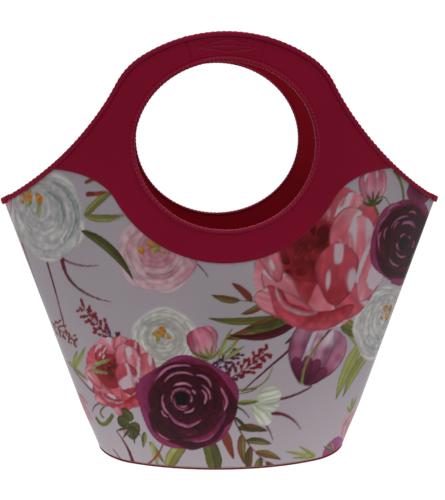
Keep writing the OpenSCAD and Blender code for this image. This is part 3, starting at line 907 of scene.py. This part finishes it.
# %% The front: the blooms between, and those that run round the sides
def paint_between(s):
    ranunculus(s, (-160, 213), 40, WHITE_SHADES, 140, 0.98, rings=7, heart=(-8, 10))
    crescent(s, (-158, 214), 33, 15, 60, 5, "#99a4a4", "#bec4c0", 141)
    crescent(s, (-160, 214), 22, 30, 50, 4, "#99a4a4", "#b8bdb8", 142)
    blots(s, (-169, 220), 11, 7, (OLIVE_HEART, "#c1ba8d", "#b0b890"), 8, 143)
    blots(s, (-173, 229), 8, 7, (ORANGE, AMBER), 7, 144)
    ranunculus(s, (-57, 184), 35, BLUSH_SHADES, 150, 0.95, rings=7, heart=(-2, 6))
    blots(s, (-59, 189), 9, 6, (ORANGE, AMBER, OLIVE_HEART), 8, 151)
    leaf(s, (-124, 202), (-78, 162), 11, LEAF_MOSS, LEAF_DARK, 152, bend=6)
    for place, way, long in (((-196, 196), -95, 38), ((-206, 190), -80, 44), ((-200, 214), 100, 30)):
        petal(s, place, way, long, long * 0.5, BLUSH_SHADES[2], BLUSH_SHADES[1], way + 200, gap=0.2)
    ranunculus(s, (-142, 38), 17, BLUSH_SHADES, 160, 1.1, rings=5)
    ranunculus(s, (130, 18), 20, BLUSH_SHADES, 161, 1.1, rings=5)
    disc(s, (108, 0), 16, WINE_SHADES[2], "#ae528d", 162)
    for tip in ((124, 52), (130, 52), (118, 44)):
        leaf(s, (123, 37), tip, 4.5, LEAF_LIGHT, LEAF_LIME, 163 + tip[0])
    for tip in ((52, 13), (66, 16), (60, 6), (76, 10)):
        leaf(s, (84, 4), tip, 4.6, LEAF_LIME, LEAF_LIGHT, 170 + tip[0])
    for tip in ((92, 12), (100, 14)):
        leaf(s, (106, 4), tip, 4, LEAF_LIME, LEAF_MOSS, 180 + tip[0])
    stem(s, [(-196, 120), (-184, 112), (-176, 113)], 1.4, 0.7, WINE_STEM, 190)


def paint_front(s):
    for part in (paint_behind, paint_low_bunch, paint_high_bunch, paint_between):
        part(s)


# %% The back
def paint_back(s):
    twigs = (
        [(-150, 190), (-140, 150), (-132, 118)], [(120, 60), (132, 90), (150, 118)],
        [(-40, 30), (-52, 14), (-66, 2)], [(60, 20), (72, 12), (80, 2)],
    )
    for twig in twigs:
        stem(s, twig, 3.2, 0.9, TWIG, twig[-1][1])
    leaf_sprig(s, (-20, 120), (-66, 148), 4, 7, 24, (LEAF_DARK, LEAF_BROWN, LEAF_OLIVE), TWIG, 301)
    leaf_sprig(s, (70, 60), (112, 28), -4, 7, 24, (LEAF_OLIVE, LEAF_DARK, LEAF_RUST), TWIG, 302)
    berry_sprig(s, (10, 128), (44, 158), 3, 8, 4.2, BERRY, TWIG, 303, PLUM)
    berry_sprig(s, (-120, 70), (-146, 42), 3, 7, 4.0, LEAF_RUST, TWIG, 304, PLUM)
    leaves = (
        ((-76, 60), (-108, 22), 16), ((-60, 52), (-64, 8), 18), ((30, 84), (18, 44), 15),
        ((92, 150), (128, 128), 16), ((98, 190), (136, 212), 13), ((-124, 150), (-156, 140), 12),
    )
    for base, tip, width in leaves:
        leaf(s, base, tip, width, LEAF_LIGHT if width > 14 else LEAF_MOSS, LEAF_OLIVE, base[0] + 400, bend=3)
    ranunculus(s, (-150, 205), 38, WINE_SHADES, 310, 1.0, rings=9, glint="#cd7aa8", depth=0.62)
    ranunculus(s, (-40, 158), 30, WHITE_SHADES, 311, 0.95, rings=7)
    blots(s, (-40, 160), 9, 6, (ORANGE, AMBER, OLIVE_HEART), 8, 312)
    peony(s, (-88, 112), 44, CORAL_SHADES, 313, lean=-60)
    blots(s, (-88, 112), 12, 8, (CORAL_SHADES[0], CORAL_SHADES[1]), 10, 314)
    ranunculus(s, (26, 96), 40, WINE_SHADES, 315, 0.96, rings=9, heart=(4, 4), glint="#e192b5", depth=0.62)
    disc(s, (29, 99), 6, WINE_SHADES[0], WINE_SHADES[0], 316, cover=0.9)
    ranunculus(s, (-32, 70), 33, BLUSH_SHADES, 317, 0.95, rings=7)
    blots(s, (-32, 72), 9, 6, (ORANGE, AMBER), 7, 318)
    peony(s, (112, 188), 46, CORAL_SHADES, 319, lean=30)
    blots(s, (112, 190), 12, 8, (CORAL_SHADES[0], CORAL_SHADES[1]), 10, 320)
    ranunculus(s, (70, 140), 26, IVORY_SHADES, 321, 0.95, rings=6)
    blots(s, (70, 142), 8, 5, (ORANGE, AMBER, OLIVE_HEART), 7, 322)
    tulip_head(s, (84, 66), 40, 50, TULIP_SHADES, 323)
    rosebud(s, (-6, 128), 80, 28, ROSE_SHADES, LEAF_MOSS, 324)
    rosebud(s, (-108, 24), 250, 20, ROSE_SHADES, LEAF_LIGHT, 325)
    ranunculus(s, (150, 110), 30, WHITE_SHADES, 326, 1.0, rings=7)
    ranunculus(s, (188, 196), 34, WHITE_SHADES, 327, 1.0, rings=7)
    ranunculus(s, (-136, 12), 20, BLUSH_SHADES, 328, 1.0, rings=5)
    disc(s, (-108, 0), 15, WINE_SHADES[2], "#ae528d", 329)
    tufts = {(30, 22): ((14, 30), (22, 38), (42, 34)), (-10, 20): ((-24, 28), (-12, 36), (4, 30))}
    for root, tips in tufts.items():
        for tip in tips:
            leaf(s, root, tip, 5, LEAF_LIME, LEAF_LIGHT, tip[0] + 500)


# %% Paint both skins
COAT_LOSS = 0.86  # share of the light that comes back through the print's clear coat
for side, paint in (("front", paint_front), ("back", paint_back)):
    sheet = PrintSheet(*skin_maps[side], GROUND)
    paint(sheet)
    shown = linear_value(sheet.colour) * COAT_LOSS
    backing = np.full((len(skins[side].data.vertices) - len(shown), 3), 0.6)
    colours = np.c_[np.vstack([shown, backing]), np.ones(len(skins[side].data.vertices))]
    layer = skins[side].data.color_attributes.new("print", "FLOAT_COLOR", "POINT")
    layer.data.foreach_set("color", colours.ravel())
    print(side, "print painted on", len(shown), "points")

# %% [markdown]
# ## The print's finish
# The print lies under a clear, lightly grained coat of polyurethane. The pigment is a little uneven, as
# wash on paper is, and the coat gives a soft sheen.

# %% Printed synthetic leather
PIGMENT_MM, COAT_GRAIN_MM = 1.4, 0.9
printed_leather, print_tree, print_shader = new_material(
    "printed synthetic leather", Roughness=0.44, Specular_IOR_Level=0.2
)
print_place = add_node(print_tree, "ShaderNodeTexCoord").outputs["Object"]
picture = add_node(print_tree, "ShaderNodeAttribute", {"attribute_name": "print"})
specks = {"Scale": 1 / (PIGMENT_MM * MM), "Detail": 3.0}
pigment = add_node(print_tree, "ShaderNodeTexNoise", specks, Vector=print_place)
settle = add_node(
    print_tree, "ShaderNodeMapRange", {"To Min": 0.94, "To Max": 1.06}, Value=pigment.outputs["Fac"]
)
washed = add_node(
    print_tree, "ShaderNodeVectorMath", {"operation": "SCALE"},
    Vector=picture.outputs["Color"], Scale=settle.outputs["Result"],
)
print_tree.links.new(washed.outputs[0], print_shader.inputs["Base Color"])
pebbles = {"feature": "SMOOTH_F1", "Scale": 1 / (COAT_GRAIN_MM * MM), "Smoothness": 0.7}
coat_grain = add_node(print_tree, "ShaderNodeTexVoronoi", pebbles, Vector=print_place)
pressed = {"Strength": 0.35, "Distance": 0.03 * MM}
coat_bump = add_node(print_tree, "ShaderNodeBump", pressed, Height=coat_grain.outputs["Distance"])
print_tree.links.new(coat_bump.outputs["Normal"], print_shader.inputs["Normal"])
for skin in skins.values():
    wear(skin, printed_leather)
    print(skin.name, "wears", printed_leather.name)

# %% [markdown]
# ## Lining and board
# Both are plain sheets behind the skin, from the base to the rim, with the hand hole cut by a Boolean.
# The edges are hidden by the tapes. The board is not seen, but it is there, as in the real bag.


# %% Plain sheets with a hand hole
def hole_cutter(grow):
    deselect_all()
    bpy.ops.mesh.primitive_cylinder_add(
        vertices=192, radius=1, depth=0.4, rotation=(math.pi / 2, 0, 0), location=(0, -0.1, HOLE_Z * MM)
    )
    cutter = bpy.context.object
    cutter.scale = ((HOLE_W / 2 + grow) * MM, (HOLE_H / 2 + grow) * MM, 0.5)
    bpy.ops.object.transform_apply(location=True, rotation=True, scale=True)
    return cutter


def plain_sheet(name, side, d_out, thickness, low, cols=160, rows=90):
    share = np.linspace(-1, 1, cols + 1)

    def place(z):
        return wall(facing_angle(share * half_girth(z, d_out), z, d_out), z, d_out)

    top = climb(place, rim_z)
    z = low + (top[None, :] - low) * np.linspace(0, 1, rows + 1)[:, None]
    points = wall(facing_angle(share[None, :] * half_girth(z, d_out), z, d_out), z, d_out)
    piece = grid_piece(name, points)
    apply_modifier(piece, "SOLIDIFY", thickness=thickness * MM, offset=-1)
    cutter = hole_cutter(BIND_T)
    apply_modifier(piece, "BOOLEAN", operation="DIFFERENCE", object=cutter, solver="EXACT")
    bpy.data.objects.remove(cutter)
    if side == "back":
        only(piece)
        piece.rotation_euler[2] = math.pi
        bpy.ops.object.transform_apply(location=False, rotation=True, scale=False)
    smooth(piece, 30)
    return piece


def bend_with_handle(piece):
    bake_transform(piece)


# %% Greyboard: pressed paper pulp, dull and flecked
FLECKS_PER_MM = 0.9
greyboard, board_tree, board_shader = new_material("greyboard", Roughness=0.9)
board_place = add_node(board_tree, "ShaderNodeTexCoord").outputs["Object"]
flecks = {"Scale": FLECKS_PER_MM / MM, "Detail": 5.0}
fibres = add_node(board_tree, "ShaderNodeTexNoise", flecks, Vector=board_place)
board_ramp = add_node(board_tree, "ShaderNodeValToRGB", Fac=fibres.outputs["Fac"])
board_ramp.color_ramp.elements[0].color = linear("#8c7f6a")
board_ramp.color_ramp.elements[1].color = linear("#c2b59b")
board_tree.links.new(board_ramp.outputs["Color"], board_shader.inputs["Base Color"])
print(greyboard.name, "made")

# %% Lining and board of each wall
for side in ("front", "back"):
    lining_t, board_t = LINING_T - 2 * PLY_GAP, BOARD_T - 2 * PLY_GAP
    lining = plain_sheet(f"{side}_lining_sheet", side, D_BOARD - PLY_GAP, lining_t, FLOOR_Z - LINING_T)
    wear(lining, lining_leather)
    bend_with_handle(lining)
    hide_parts(f"{side}_lining", f"{side}_handle_lining")
    board = plain_sheet(f"{side}_stiffener", side, D_PRINT - PLY_GAP, board_t, COVER_T, cols=100, rows=60)
    wear(board, greyboard)
    bend_with_handle(board)
    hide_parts(f"{side}_board", f"{side}_handle_board")
    print(lining.name, triangles(lining), board.name, triangles(board))

# %% [markdown]
# ## The facing
# The facing frames the hand hole and runs over the grip. It is bridged from the hole's edge to its outer
# edge in rows, so that its folded edges and the creased lines beside them can follow those edges. The rows
# are closest at the edges, where the shape turns fastest.


# %% The facing's two edges, matched point for point
def even_points(path, n, share=None):
    """n points along a path, evenly spaced or at the given shares of its length."""
    run = np.concatenate([[0], np.cumsum(np.linalg.norm(np.diff(path, axis=0), axis=1))])
    at = np.linspace(0, run[-1], n) if share is None else share * run[-1]
    return np.stack([np.interp(at, run, path[:, k]) for k in (0, 1)], -1)


corner_x = yoke_end[0]
while yoke_z(corner_x) > rim_z(corner_x):
    corner_x -= 0.05
corner = np.array([corner_x, rim_z(corner_x)])
rim_part = np.vstack([rim_half[rim_half[:, 0] < corner_x], corner])
yoke_part = np.vstack([yoke_half[yoke_half[:, 0] < corner_x], corner])[::-1]
RIM_COUNT, YOKE_COUNT = 300, 110
CORNER_ANGLE = -10.0
rim_share = np.linspace(0, 1, RIM_COUNT) ** 1.6
right_edge = np.vstack([even_points(rim_part, RIM_COUNT, rim_share)[:-1], even_points(yoke_part, YOKE_COUNT)])
down_rim = 90 + (CORNER_ANGLE - 90) * rim_share[:-1]
right_turn = np.concatenate([down_rim, np.linspace(CORNER_ANGLE, -90, YOKE_COUNT)])
turn = np.radians(np.concatenate([right_turn, (180 - right_turn)[::-1][1:]]))
outer_edge = np.vstack([right_edge, (right_edge * [-1, 1])[::-1][1:]])
inner_edge = np.stack([HOLE_W / 2 * np.cos(turn), HOLE_Z + HOLE_H / 2 * np.sin(turn)], -1)
on_rim = np.abs(outer_edge[:, 1] - rim_z(outer_edge[:, 0])) < 0.01
print("facing corner", corner.round(1), "edge points", len(outer_edge))


# %% The facing's surface: folded edges and creased lines
FIRST_ROWS, LAST_ROWS = [0, 0.004, 0.012, 0.03, 0.05], [0.95, 0.97, 0.988, 0.996, 1]
ROW_SHARE = np.concatenate([FIRST_ROWS, np.linspace(0.075, 0.925, 44), LAST_ROWS])


def distance_to(points, path):
    """Shortest distance from each point to a path of points."""
    flat = points.reshape(-1, 2)
    best = np.full(len(flat), 1e9)
    for a, b in zip(path[:-1], path[1:]):
        ab = b - a
        t = np.clip(((flat - a) @ ab) / max(ab @ ab, 1e-9), 0, 1)
        best = np.minimum(best, np.linalg.norm(flat - a - t[:, None] * ab, axis=1))
    return best.reshape(points.shape[:-1])


def crease(distance, at, width, depth):
    return -depth * np.exp(-(((distance - at) / width) ** 2))


FOLD_EDGE, CREASE_W, CREASE_DEPTH = 0.8, 0.45, 0.35
PUFF, PUFF_AT, PUFF_W = 0.18, 1.6, 1.2
GRIP_Z = (HOLE_Z + HOLE_H / 2 + TOP_Z) / 2


def facing_offset(to_yoke, to_hole, to_rim):
    """Offset of the facing's outer face, from the distances to its three edges."""
    rounded = np.clip(to_yoke / FOLD_EDGE, 0, 1)
    lift = FACING_T * np.sqrt(np.clip(1 - (1 - rounded) ** 2, 0, 1))
    puff = PUFF * np.exp(-(((to_yoke - PUFF_AT) / PUFF_W) ** 2))
    lines = crease(to_hole, EDGING_W + BIND_T, CREASE_W, CREASE_DEPTH)
    lines += crease(to_rim, RIM_BIND_W + 0.3, CREASE_W, CREASE_DEPTH)
    return D_SKIN + lift + puff + lines


# %% The pressed pattern on the front grip
GRIP_LINE_X, GRIP_LINE_TURN, LEAF_L, LEAF_W = 31.0, math.radians(14), 46.0, 8.0


def pressed_lines(plan):
    """The front grip's pressed pattern: a line at each end and a small leaf between them."""
    x, z = plan[..., 0], plan[..., 1] - GRIP_Z + 1
    on_grip = np.clip((plan[..., 1] - GRIP_Z + 16) / 2, 0, 1)
    slanted = np.abs(np.abs(x) - GRIP_LINE_X - z * math.tan(GRIP_LINE_TURN)) * math.cos(GRIP_LINE_TURN)
    lines = crease(slanted, 0, 0.6, 0.7)
    along, z_leaf = x / (LEAF_L / 2), z - 0.006 * (20**2 - x**2) / 2
    half = LEAF_W / 2 * np.clip(1 - np.abs(along), 0, 1) ** 0.7 * (1.2 + 0.4 * along)
    rim_of_leaf = np.abs(np.abs(z_leaf) - half)
    vein = np.abs(z_leaf)
    side_veins = np.abs((np.abs(z_leaf) * 1.1 - x) % 6 - 3)
    leaf = crease(np.minimum(rim_of_leaf, vein), 0, 0.5, 0.35) * (np.abs(along) < 1)
    leaf += crease(side_veins, 0, 0.45, 0.25) * (np.abs(z_leaf) < half - 0.6)
    return (lines + leaf) * on_grip


# %% Both facings
plan = inner_edge[None] + (outer_edge - inner_edge)[None] * ROW_SHARE[:, None, None]
yoke_line = np.vstack([(yoke_part * [-1, 1]), yoke_part[::-1]])
rim_line = np.vstack([(rim_part * [-1, 1])[::-1], rim_part])
to_yoke, to_rim = distance_to(plan, yoke_line), distance_to(plan, rim_line)
to_hole = distance_to(plan, inner_edge[::2])
plain_d = facing_offset(to_yoke, to_hole, to_rim)
for side, facing_d in (("front", plain_d + pressed_lines(plan)), ("back", plain_d)):
    facing_d[-1] = np.where(on_rim, D_FACING, D_SKIN + PLY_GAP)
    facing_points = np.stack([plan[..., 0], wall_y(plan[..., 0], plan[..., 1], facing_d), plan[..., 1]], -1)
    facing = grid_piece(f"{side}_facing", facing_points, side)
    close_doubles(facing)
    face_out(facing)
    apply_modifier(facing, "SOLIDIFY", thickness=(FACING_T + PRINT_T - 0.1) * MM, offset=-1)
    smooth(facing, 50)
    wear(facing, crimson_leather)
    bend_with_handle(facing)
    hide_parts(f"{side}_yoke_facing", f"{side}_handle_facing")
    print(facing.name, triangles(facing))

# %% [markdown]
# ## Tapes folded over an edge
# A binding is a U folded over the edge of the plies. It is made as a closed section, set out along the
# edge in rings. The section is given by how far it lies from the edge (h, inwards) and by its offset d, and
# one function for each edge turns (place on the edge, h, d) into a point. The tape is drawn in a little at
# every stitch, so it bulges between them; that is what makes the fine scallops along the rim.


# %% The two edges as guides
class Edge:
    """A guide along an edge of the wall: at(s, h, d) is a point s mm along it."""

    def __init__(self, u, z, turned, length):
        self.u, self.z, self.turned, self.length = u, z, turned, length

    def at(self, s, h, d):
        keys = np.linspace(0, self.length, len(self.u))
        u, z = np.interp(s, keys, self.u), np.interp(s, keys, self.z)
        in_u, in_z = np.interp(s, keys, self.turned[:, 0]), np.interp(s, keys, self.turned[:, 1])
        u, z = u + in_u * h, z + in_z * h
        return wall(facing_angle(u, z, D_SKIN), z, d)


def edge_from(u, z, count, closed=False):
    """Even points along a developed path, each with the direction that points inwards from the edge."""
    path = even_points(np.stack([u, z], -1), count)
    run = np.gradient(path, axis=0)
    if closed:
        run[0] = run[-1] = path[1] - path[-2]
    run /= np.linalg.norm(run, axis=1)[:, None]
    inward = np.stack([run[:, 1], -run[:, 0]], -1)
    length = np.linalg.norm(np.diff(path, axis=0), axis=1).sum()
    return Edge(path[:, 0], path[:, 1], inward, length)


middle_phi = np.linspace(-29.8, 29.8, 500)
rim_phi = np.radians(np.concatenate([np.linspace(-90, -30, 90), middle_phi, np.linspace(30, 90, 90)]))
rim_top = climb(lambda z: wall(rim_phi, z, D_SKIN), rim_z)
rim_u = np.sign(rim_phi) * (
    (wide_at(rim_top) + D_SKIN) * np.minimum(np.abs(rim_phi), SPAN)
    + (end_at(rim_top) + D_SKIN) * np.maximum(np.abs(rim_phi) - SPAN, 0)
)
rim_edge = edge_from(rim_u, rim_top, 700)

hole_t = np.linspace(0.5, 2.5, 721) * math.pi
hole_x, hole_height = HOLE_W / 2 * np.cos(-hole_t), HOLE_Z + HOLE_H / 2 * np.sin(-hole_t)
hole_u = (wide_at(hole_height) + D_SKIN) * np.arcsin(hole_x / (wide_at(hole_height) + D_SKIN))
hole_edge = edge_from(hole_u[::-1], hole_height[::-1], 721, closed=True)
print("rim", round(rim_edge.length), "mm, hand hole", round(hole_edge.length), "mm round")


# %% The U section and its puckers
def u_section(width, base_d, inner_width):
    """Closed section of a folded tape as (h, d, how far it may swell)."""
    leg = [(width, base_d, 0), (width + 0.12, base_d + 0.35, 0.3), (width - 0.15, base_d + 0.62, 0.7)]
    leg += [(width * f, base_d + BIND_T, 1) for f in (0.8, 0.55, 0.3, 0.1)]
    top_d = base_d + BIND_T
    bow = [
        (-BIND_T * math.sin(a), top_d / 2 + top_d / 2 * math.cos(a), 1)
        for a in np.radians([35, 65, 90, 115, 145])
    ]
    inner = [(inner_width * f, 0, 0.4) for f in (0.1, 0.5, 0.9)]
    inner += [(inner_width, 0.1, 0), (inner_width, BIND_T, 0)]
    inside = [(0.02, BIND_T, 0), (0.02, base_d, 0)]
    return np.array(leg + bow + inner + inside)


def tube_faces(index, capped):
    """Faces of a tube from its rings of vertex numbers, with a cap on each end if capped."""
    a, b = index[:-1], index[1:]
    faces = np.stack([a, b, np.roll(b, -1, 1), np.roll(a, -1, 1)], -1).reshape(-1, 4).tolist()
    if capped:
        faces += [index[0].tolist(), index[-1][::-1].tolist()]
    return faces


def solid(name, side, points, faces):
    piece = mesh_piece(name, points, faces, side)
    face_out(piece)
    smooth(piece, 60)
    return piece


def folded_tape(name, side, edge, width, inner_width, pitch, swell, closed, step, cut=(0, 0)):
    """A tape along an edge: rings of the U section, swollen between stitches."""
    count = int((edge.length - sum(cut)) / step)
    s = np.linspace(cut[0], edge.length - cut[1], count + (0 if closed else 1), endpoint=not closed)
    section = u_section(width, D_FACING, inner_width)
    between = np.abs(np.sin(math.pi * s / pitch)) ** 0.7
    h, d, free = section.T
    away = np.stack([np.where(h < 0.05, -1.0, 0), np.sign(d - D_BIND / 2)], -1)
    grow = swell * between[:, None] * free[None] * 0.9 - swell * 0.55 * free[None] * (1 - between[:, None])
    ring_h = h[None] + grow * away[None, :, 0]
    ring_d = np.maximum(d[None] + grow * away[None, :, 1], 0)
    rings = edge.at(s[:, None], ring_h, ring_d)
    index = np.arange(len(s) * len(h)).reshape(len(s), len(h))
    if closed:
        index = np.vstack([index, index[:1]])
    return solid(name, side, rings.reshape(-1, 3), tube_faces(index, capped=not closed))


# %% Overcast threads
def overcast(name, side, edge, width, inner_width, pitch, radius, lean, cut=0.0, corners=5):
    """Short threads laid over the folded tape, one at every stitch, as one piece."""
    stitches = np.arange(pitch / 2 + cut, edge.length - cut, pitch)
    top, low, far = D_BIND, width * 0.78, inner_width * 0.78
    route = [
        (low + 0.1, top - 0.35), (low * 0.8, top + 0.02), (low * 0.45, top + 0.05), (0.15, top + 0.02),
        (-BIND_T * 0.75, top * 0.82), (-BIND_T, top / 2), (-BIND_T * 0.75, top * 0.18),
        (0.15, 0.0), (far * 0.5, -0.05), (far, 0.3),
    ]
    h, d = np.array(route).T
    slide = np.linspace(-0.5, 0.5, len(h)) * lean
    t = np.linspace(0, 2 * math.pi, corners, endpoint=False)
    points, faces = [], []
    for k, s in enumerate(stitches):
        line = edge.at(s + slide, h, d)
        run = np.gradient(line, axis=0)
        run /= np.linalg.norm(run, axis=1)[:, None]
        along = edge.at(np.array(s + 0.5), 0, top / 2) - edge.at(np.array(s - 0.5), 0, top / 2)
        lift = np.cross(run, along / np.linalg.norm(along))
        lift /= np.linalg.norm(lift, axis=1)[:, None]
        across = np.cross(lift, run)
        ring = np.cos(t)[None, :, None] * across[:, None] + np.sin(t)[None, :, None] * lift[:, None]
        points.append((line[:, None] + radius * ring).reshape(-1, 3))
        index = np.arange(len(h) * corners).reshape(len(h), corners) + k * len(h) * corners
        faces += tube_faces(index, capped=True)
    return solid(name, side, np.vstack(points), faces)


# %% Sewing threads: twisted polyester, fine enough to look plain
crimson_thread, _, _ = new_material(
    "crimson sewing thread", Base_Color=linear("#9a1038"), Roughness=0.6, Specular_IOR_Level=0.15
)
pink_thread, _, _ = new_material(
    "pink sewing thread", Base_Color=linear("#c85a78"), Roughness=0.5, Specular_IOR_Level=0.3
)
print(crimson_thread.name, "and", pink_thread.name, "made")

# %% Tapes and threads of each wall
RIM_PITCH, HOLE_PITCH, EDGING_IN = 4.6, 3.6, 1.0
RIM_CUT, TAB_L, TAB_T = (0.3, 0.3), 9.0, 0.5
rim = (rim_edge, RIM_BIND_W, RIM_BIND_W, RIM_PITCH)
hole = (hole_edge, EDGING_W, EDGING_IN, HOLE_PITCH)
for side in ("front", "back"):
    for name, make, guide, settings, finish, slot in (
        ("rim_binding_tape", folded_tape, rim, (0.36, False, 1.15, RIM_CUT), binding_leather, "binding"),
        ("rim_stitches", overcast, rim, (0.22, 1.6, TAB_L), crimson_thread, "binding"),
        ("hole_edging_tape", folded_tape, hole, (0.3, True, 0.9), binding_leather, "edging"),
        ("hole_stitches", overcast, hole, (0.26, 0.9), pink_thread, "edging"),
    ):
        piece = make(f"{side}_{name}", side, *guide, *settings)
        wear(piece, finish)
        bend_with_handle(piece)
        if make is folded_tape:
            node = piece.name.removesuffix("_tape")
            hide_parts(node, f"{side}_handle_{slot}")
        print(piece.name, triangles(piece))

# %% [markdown]
# ## Corner tabs
# Where the two bindings meet at a tip, a short tab is folded round the corner and over the rim. It is one
# sheet that runs from the front leg, round the side fold, to the back leg, with its free edges let down.


# %% The tabs
def tip_column(reach):
    """Rim height of the column that lies reach mm from the side fold."""
    return climb(lambda z: wall(facing_angle(half_girth(z, D_SKIN) - reach, z, D_SKIN), z, D_SKIN), rim_z)


reach = np.concatenate([[TAB_L, TAB_L - 0.2, TAB_L - 0.6], np.linspace(TAB_L - 1.4, 0.0, 16)])
tab_rim = tip_column(reach)
tab_low, slope = RIM_BIND_W + TAB_T, 1 / math.cos(math.radians(TIP_TURN))
tab_section = [
    (tab_low, 0.0), (tab_low - 0.05, 0.35), (tab_low - 0.3, 0.65), (tab_low - 0.8, 0.8), (3.6, 0.85),
    (2.2, 0.9), (0.9, 0.85), (0.1, 0.75), (-0.75, 0.3), (-1.3, -0.6), (-1.6, -1.9), (-1.6, -3.3),
    (-1.3, -4.6), (-0.7, -5.4),
]
tab_h, tab_lift = np.array(tab_section).T
edge_drop = np.array([0.0, 0.45, 0.85] + [1.0] * (len(reach) - 3))
tab_z = tab_rim[None] - tab_h[:, None] * slope
tab_out, tab_in = np.maximum(tab_lift, 0)[:, None], np.minimum(tab_lift, 0)[:, None]
tab_d = D_BIND + tab_out * edge_drop[None] + tab_in
tab_front = wall(facing_angle(half_girth(tab_z, D_SKIN) - reach[None], tab_z, D_SKIN), tab_z, tab_d)
tab_back = (tab_front * [1, -1, 1])[:, ::-1]
tab_points = np.concatenate([tab_front, tab_back[:, 1:]], 1)
for side, facing_way in (("right", "front"), ("left", "back")):
    tab = grid_piece(f"{side}_corner_tab", tab_points, facing_way)
    face_out(tab)
    apply_modifier(tab, "SOLIDIFY", thickness=0.7 * MM, offset=-1)
    apply_modifier(tab, "SUBSURF", levels=1)
    smooth(tab, 60)
    wear(tab, binding_leather)
    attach(tab, "bag")
    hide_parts(f"{side}_tip_cap")
    print(tab.name, triangles(tab))

# %% [markdown]
# ## The base
# The base is an oval of thick leather, a board and the floor's lining. Each starts as a circle primitive
# that is set out along the foot of the walls, pulled up to its thickness and bevelled.

# %% The base's three layers
BASE_COUNT, COVER_LIP = 288, 0.4


def oval_plate(name, d, low, thickness, edge):
    """An oval plate that fills the wall's surface at offset d, with a rounded edge."""
    deselect_all()
    bpy.ops.mesh.primitive_circle_add(vertices=BASE_COUNT, radius=1, fill_type="NGON")
    plate = bpy.context.object
    plate.name = plate.data.name = name
    face = np.linspace(-math.pi / 2, math.pi / 2, BASE_COUNT // 2, endpoint=False)
    half = wall(face, low, d)
    for vertex, place in zip(plate.data.vertices, np.vstack([half, half * [-1, -1, 1]])):
        vertex.co = place * MM
    edit(
        plate,
        lambda: bpy.ops.mesh.extrude_region_move(TRANSFORM_OT_translate={"value": (0, 0, thickness * MM)}),
        lambda: bpy.ops.mesh.select_all(action="SELECT"),
        lambda: bpy.ops.mesh.normals_make_consistent(inside=False),
    )
    apply_modifier(plate, "BEVEL", width=edge * MM, segments=4, limit_method="ANGLE")
    smooth(plate, 50)
    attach(plate, "bag")
    print(name, triangles(plate), [round(c * 1000, 1) for c in plate.dimensions])
    return plate


for name, d, low, thickness, edge, finish, node, slot in (
    ("base_leather", D_SKIN + COVER_LIP, 0, COVER_T, 0.45, cover_leather, "base_cover", "base_cover"),
    (
        "base_stiffener", D_BOARD, COVER_T + PLY_GAP, BASE_BOARD_T - 2 * PLY_GAP, 0.2, greyboard,
        "base_board", "greyboard",
    ),
    ("floor_lining", D_LINING, FLOOR_Z - LINING_T, LINING_T, 0.15, lining_leather, "base_lining", "lining"),
):
    plate = oval_plate(name, d, low, thickness, edge)
    wear(plate, finish)
    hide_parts(node)

# %% [markdown]
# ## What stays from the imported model
# The two seam tapes inside have their true shape already, so they stay and take the finish of the lining.

# %% Finish of the seam tapes
for name in ("left_side_tape", "right_side_tape"):
    wear(frame["nodes"][name], lining_leather)
    print(name, "wears", lining_leather.name)


# %% [markdown]
# ## Stage, light and camera
# The bag stands on a sheet of lit white acrylic before a lit backdrop, so nothing throws a shadow. The
# sheet ends close in front of the bag, and a key light and a top light, both high, do the rest. The
# camera is a long lens a little above the handles' height, so that both hand holes line up.

# %% Stage and lights
def plane(name, size, location, rotation=(0, 0, 0)):
    deselect_all()
    bpy.ops.mesh.primitive_plane_add(size=size, location=location, rotation=rotation)
    made = bpy.context.object
    made.name = name
    return made


STAGE_W, FLOOR_FRONT, BACKDROP_Y, BACKDROP_Z = 3.0, 0.17, 2.8, 1.2
WHITE, WORLD_STRENGTH = (1, 1, 1, 1), 0.25
acrylic, _, _ = new_material(
    "lit white acrylic", Base_Color=linear("#303030"), Roughness=0.8, Specular_IOR_Level=0.0,
    Emission_Color=WHITE, Emission_Strength=1.0,
)
wear(plane("floor", STAGE_W, (0, STAGE_W / 2 - FLOOR_FRONT, 0)), acrylic)
wear(plane("backdrop", STAGE_W, (0, BACKDROP_Y, BACKDROP_Z), (math.pi / 2, 0, 0)), acrylic)

world = bpy.data.worlds.new("studio")
bpy.context.scene.world = world
world.use_nodes = True
sky = world.node_tree.nodes["Background"]
sky.inputs["Color"].default_value = WHITE
sky.inputs["Strength"].default_value = WORLD_STRENGTH


def soft_light(name, location, aim, size, power):
    deselect_all()
    bpy.ops.object.light_add(type="AREA", location=location)
    light = bpy.context.object
    light.name = name
    light.data.shape = "SQUARE"
    light.data.size = size
    light.data.energy = power
    light.rotation_euler = (Vector(aim) - Vector(location)).to_track_quat("-Z", "Y").to_euler()


soft_light("key", (-0.3, -2.0, 2.2), (0, 0, 0.3), 0.9, 14)
soft_light("top", (0.1, -0.9, 2.5), (0, 0, 0.3), 1.0, 17)
print("floor, backdrop, world and two soft lights made")

# %% Camera
deselect_all()
AIM = Vector((0.0012, 0, 0.1790))
DISTANCE, RISE, TURN = 1.228, math.radians(7.1), math.radians(-3.15)
ahead = Vector((-math.sin(TURN) * math.cos(RISE), math.cos(TURN) * math.cos(RISE), -math.sin(RISE)))
bpy.ops.object.camera_add(location=AIM - ahead * DISTANCE, rotation=ahead.to_track_quat("-Z", "Y").to_euler())
camera = bpy.context.object
camera.data.lens = 100.9
camera.data.sensor_width = 36
bpy.context.scene.camera = camera
bpy.context.scene.view_settings.view_transform = "Standard"
print("camera", round(camera.data.lens, 1), "mm lens, at", [round(v, 3) for v in camera.location])
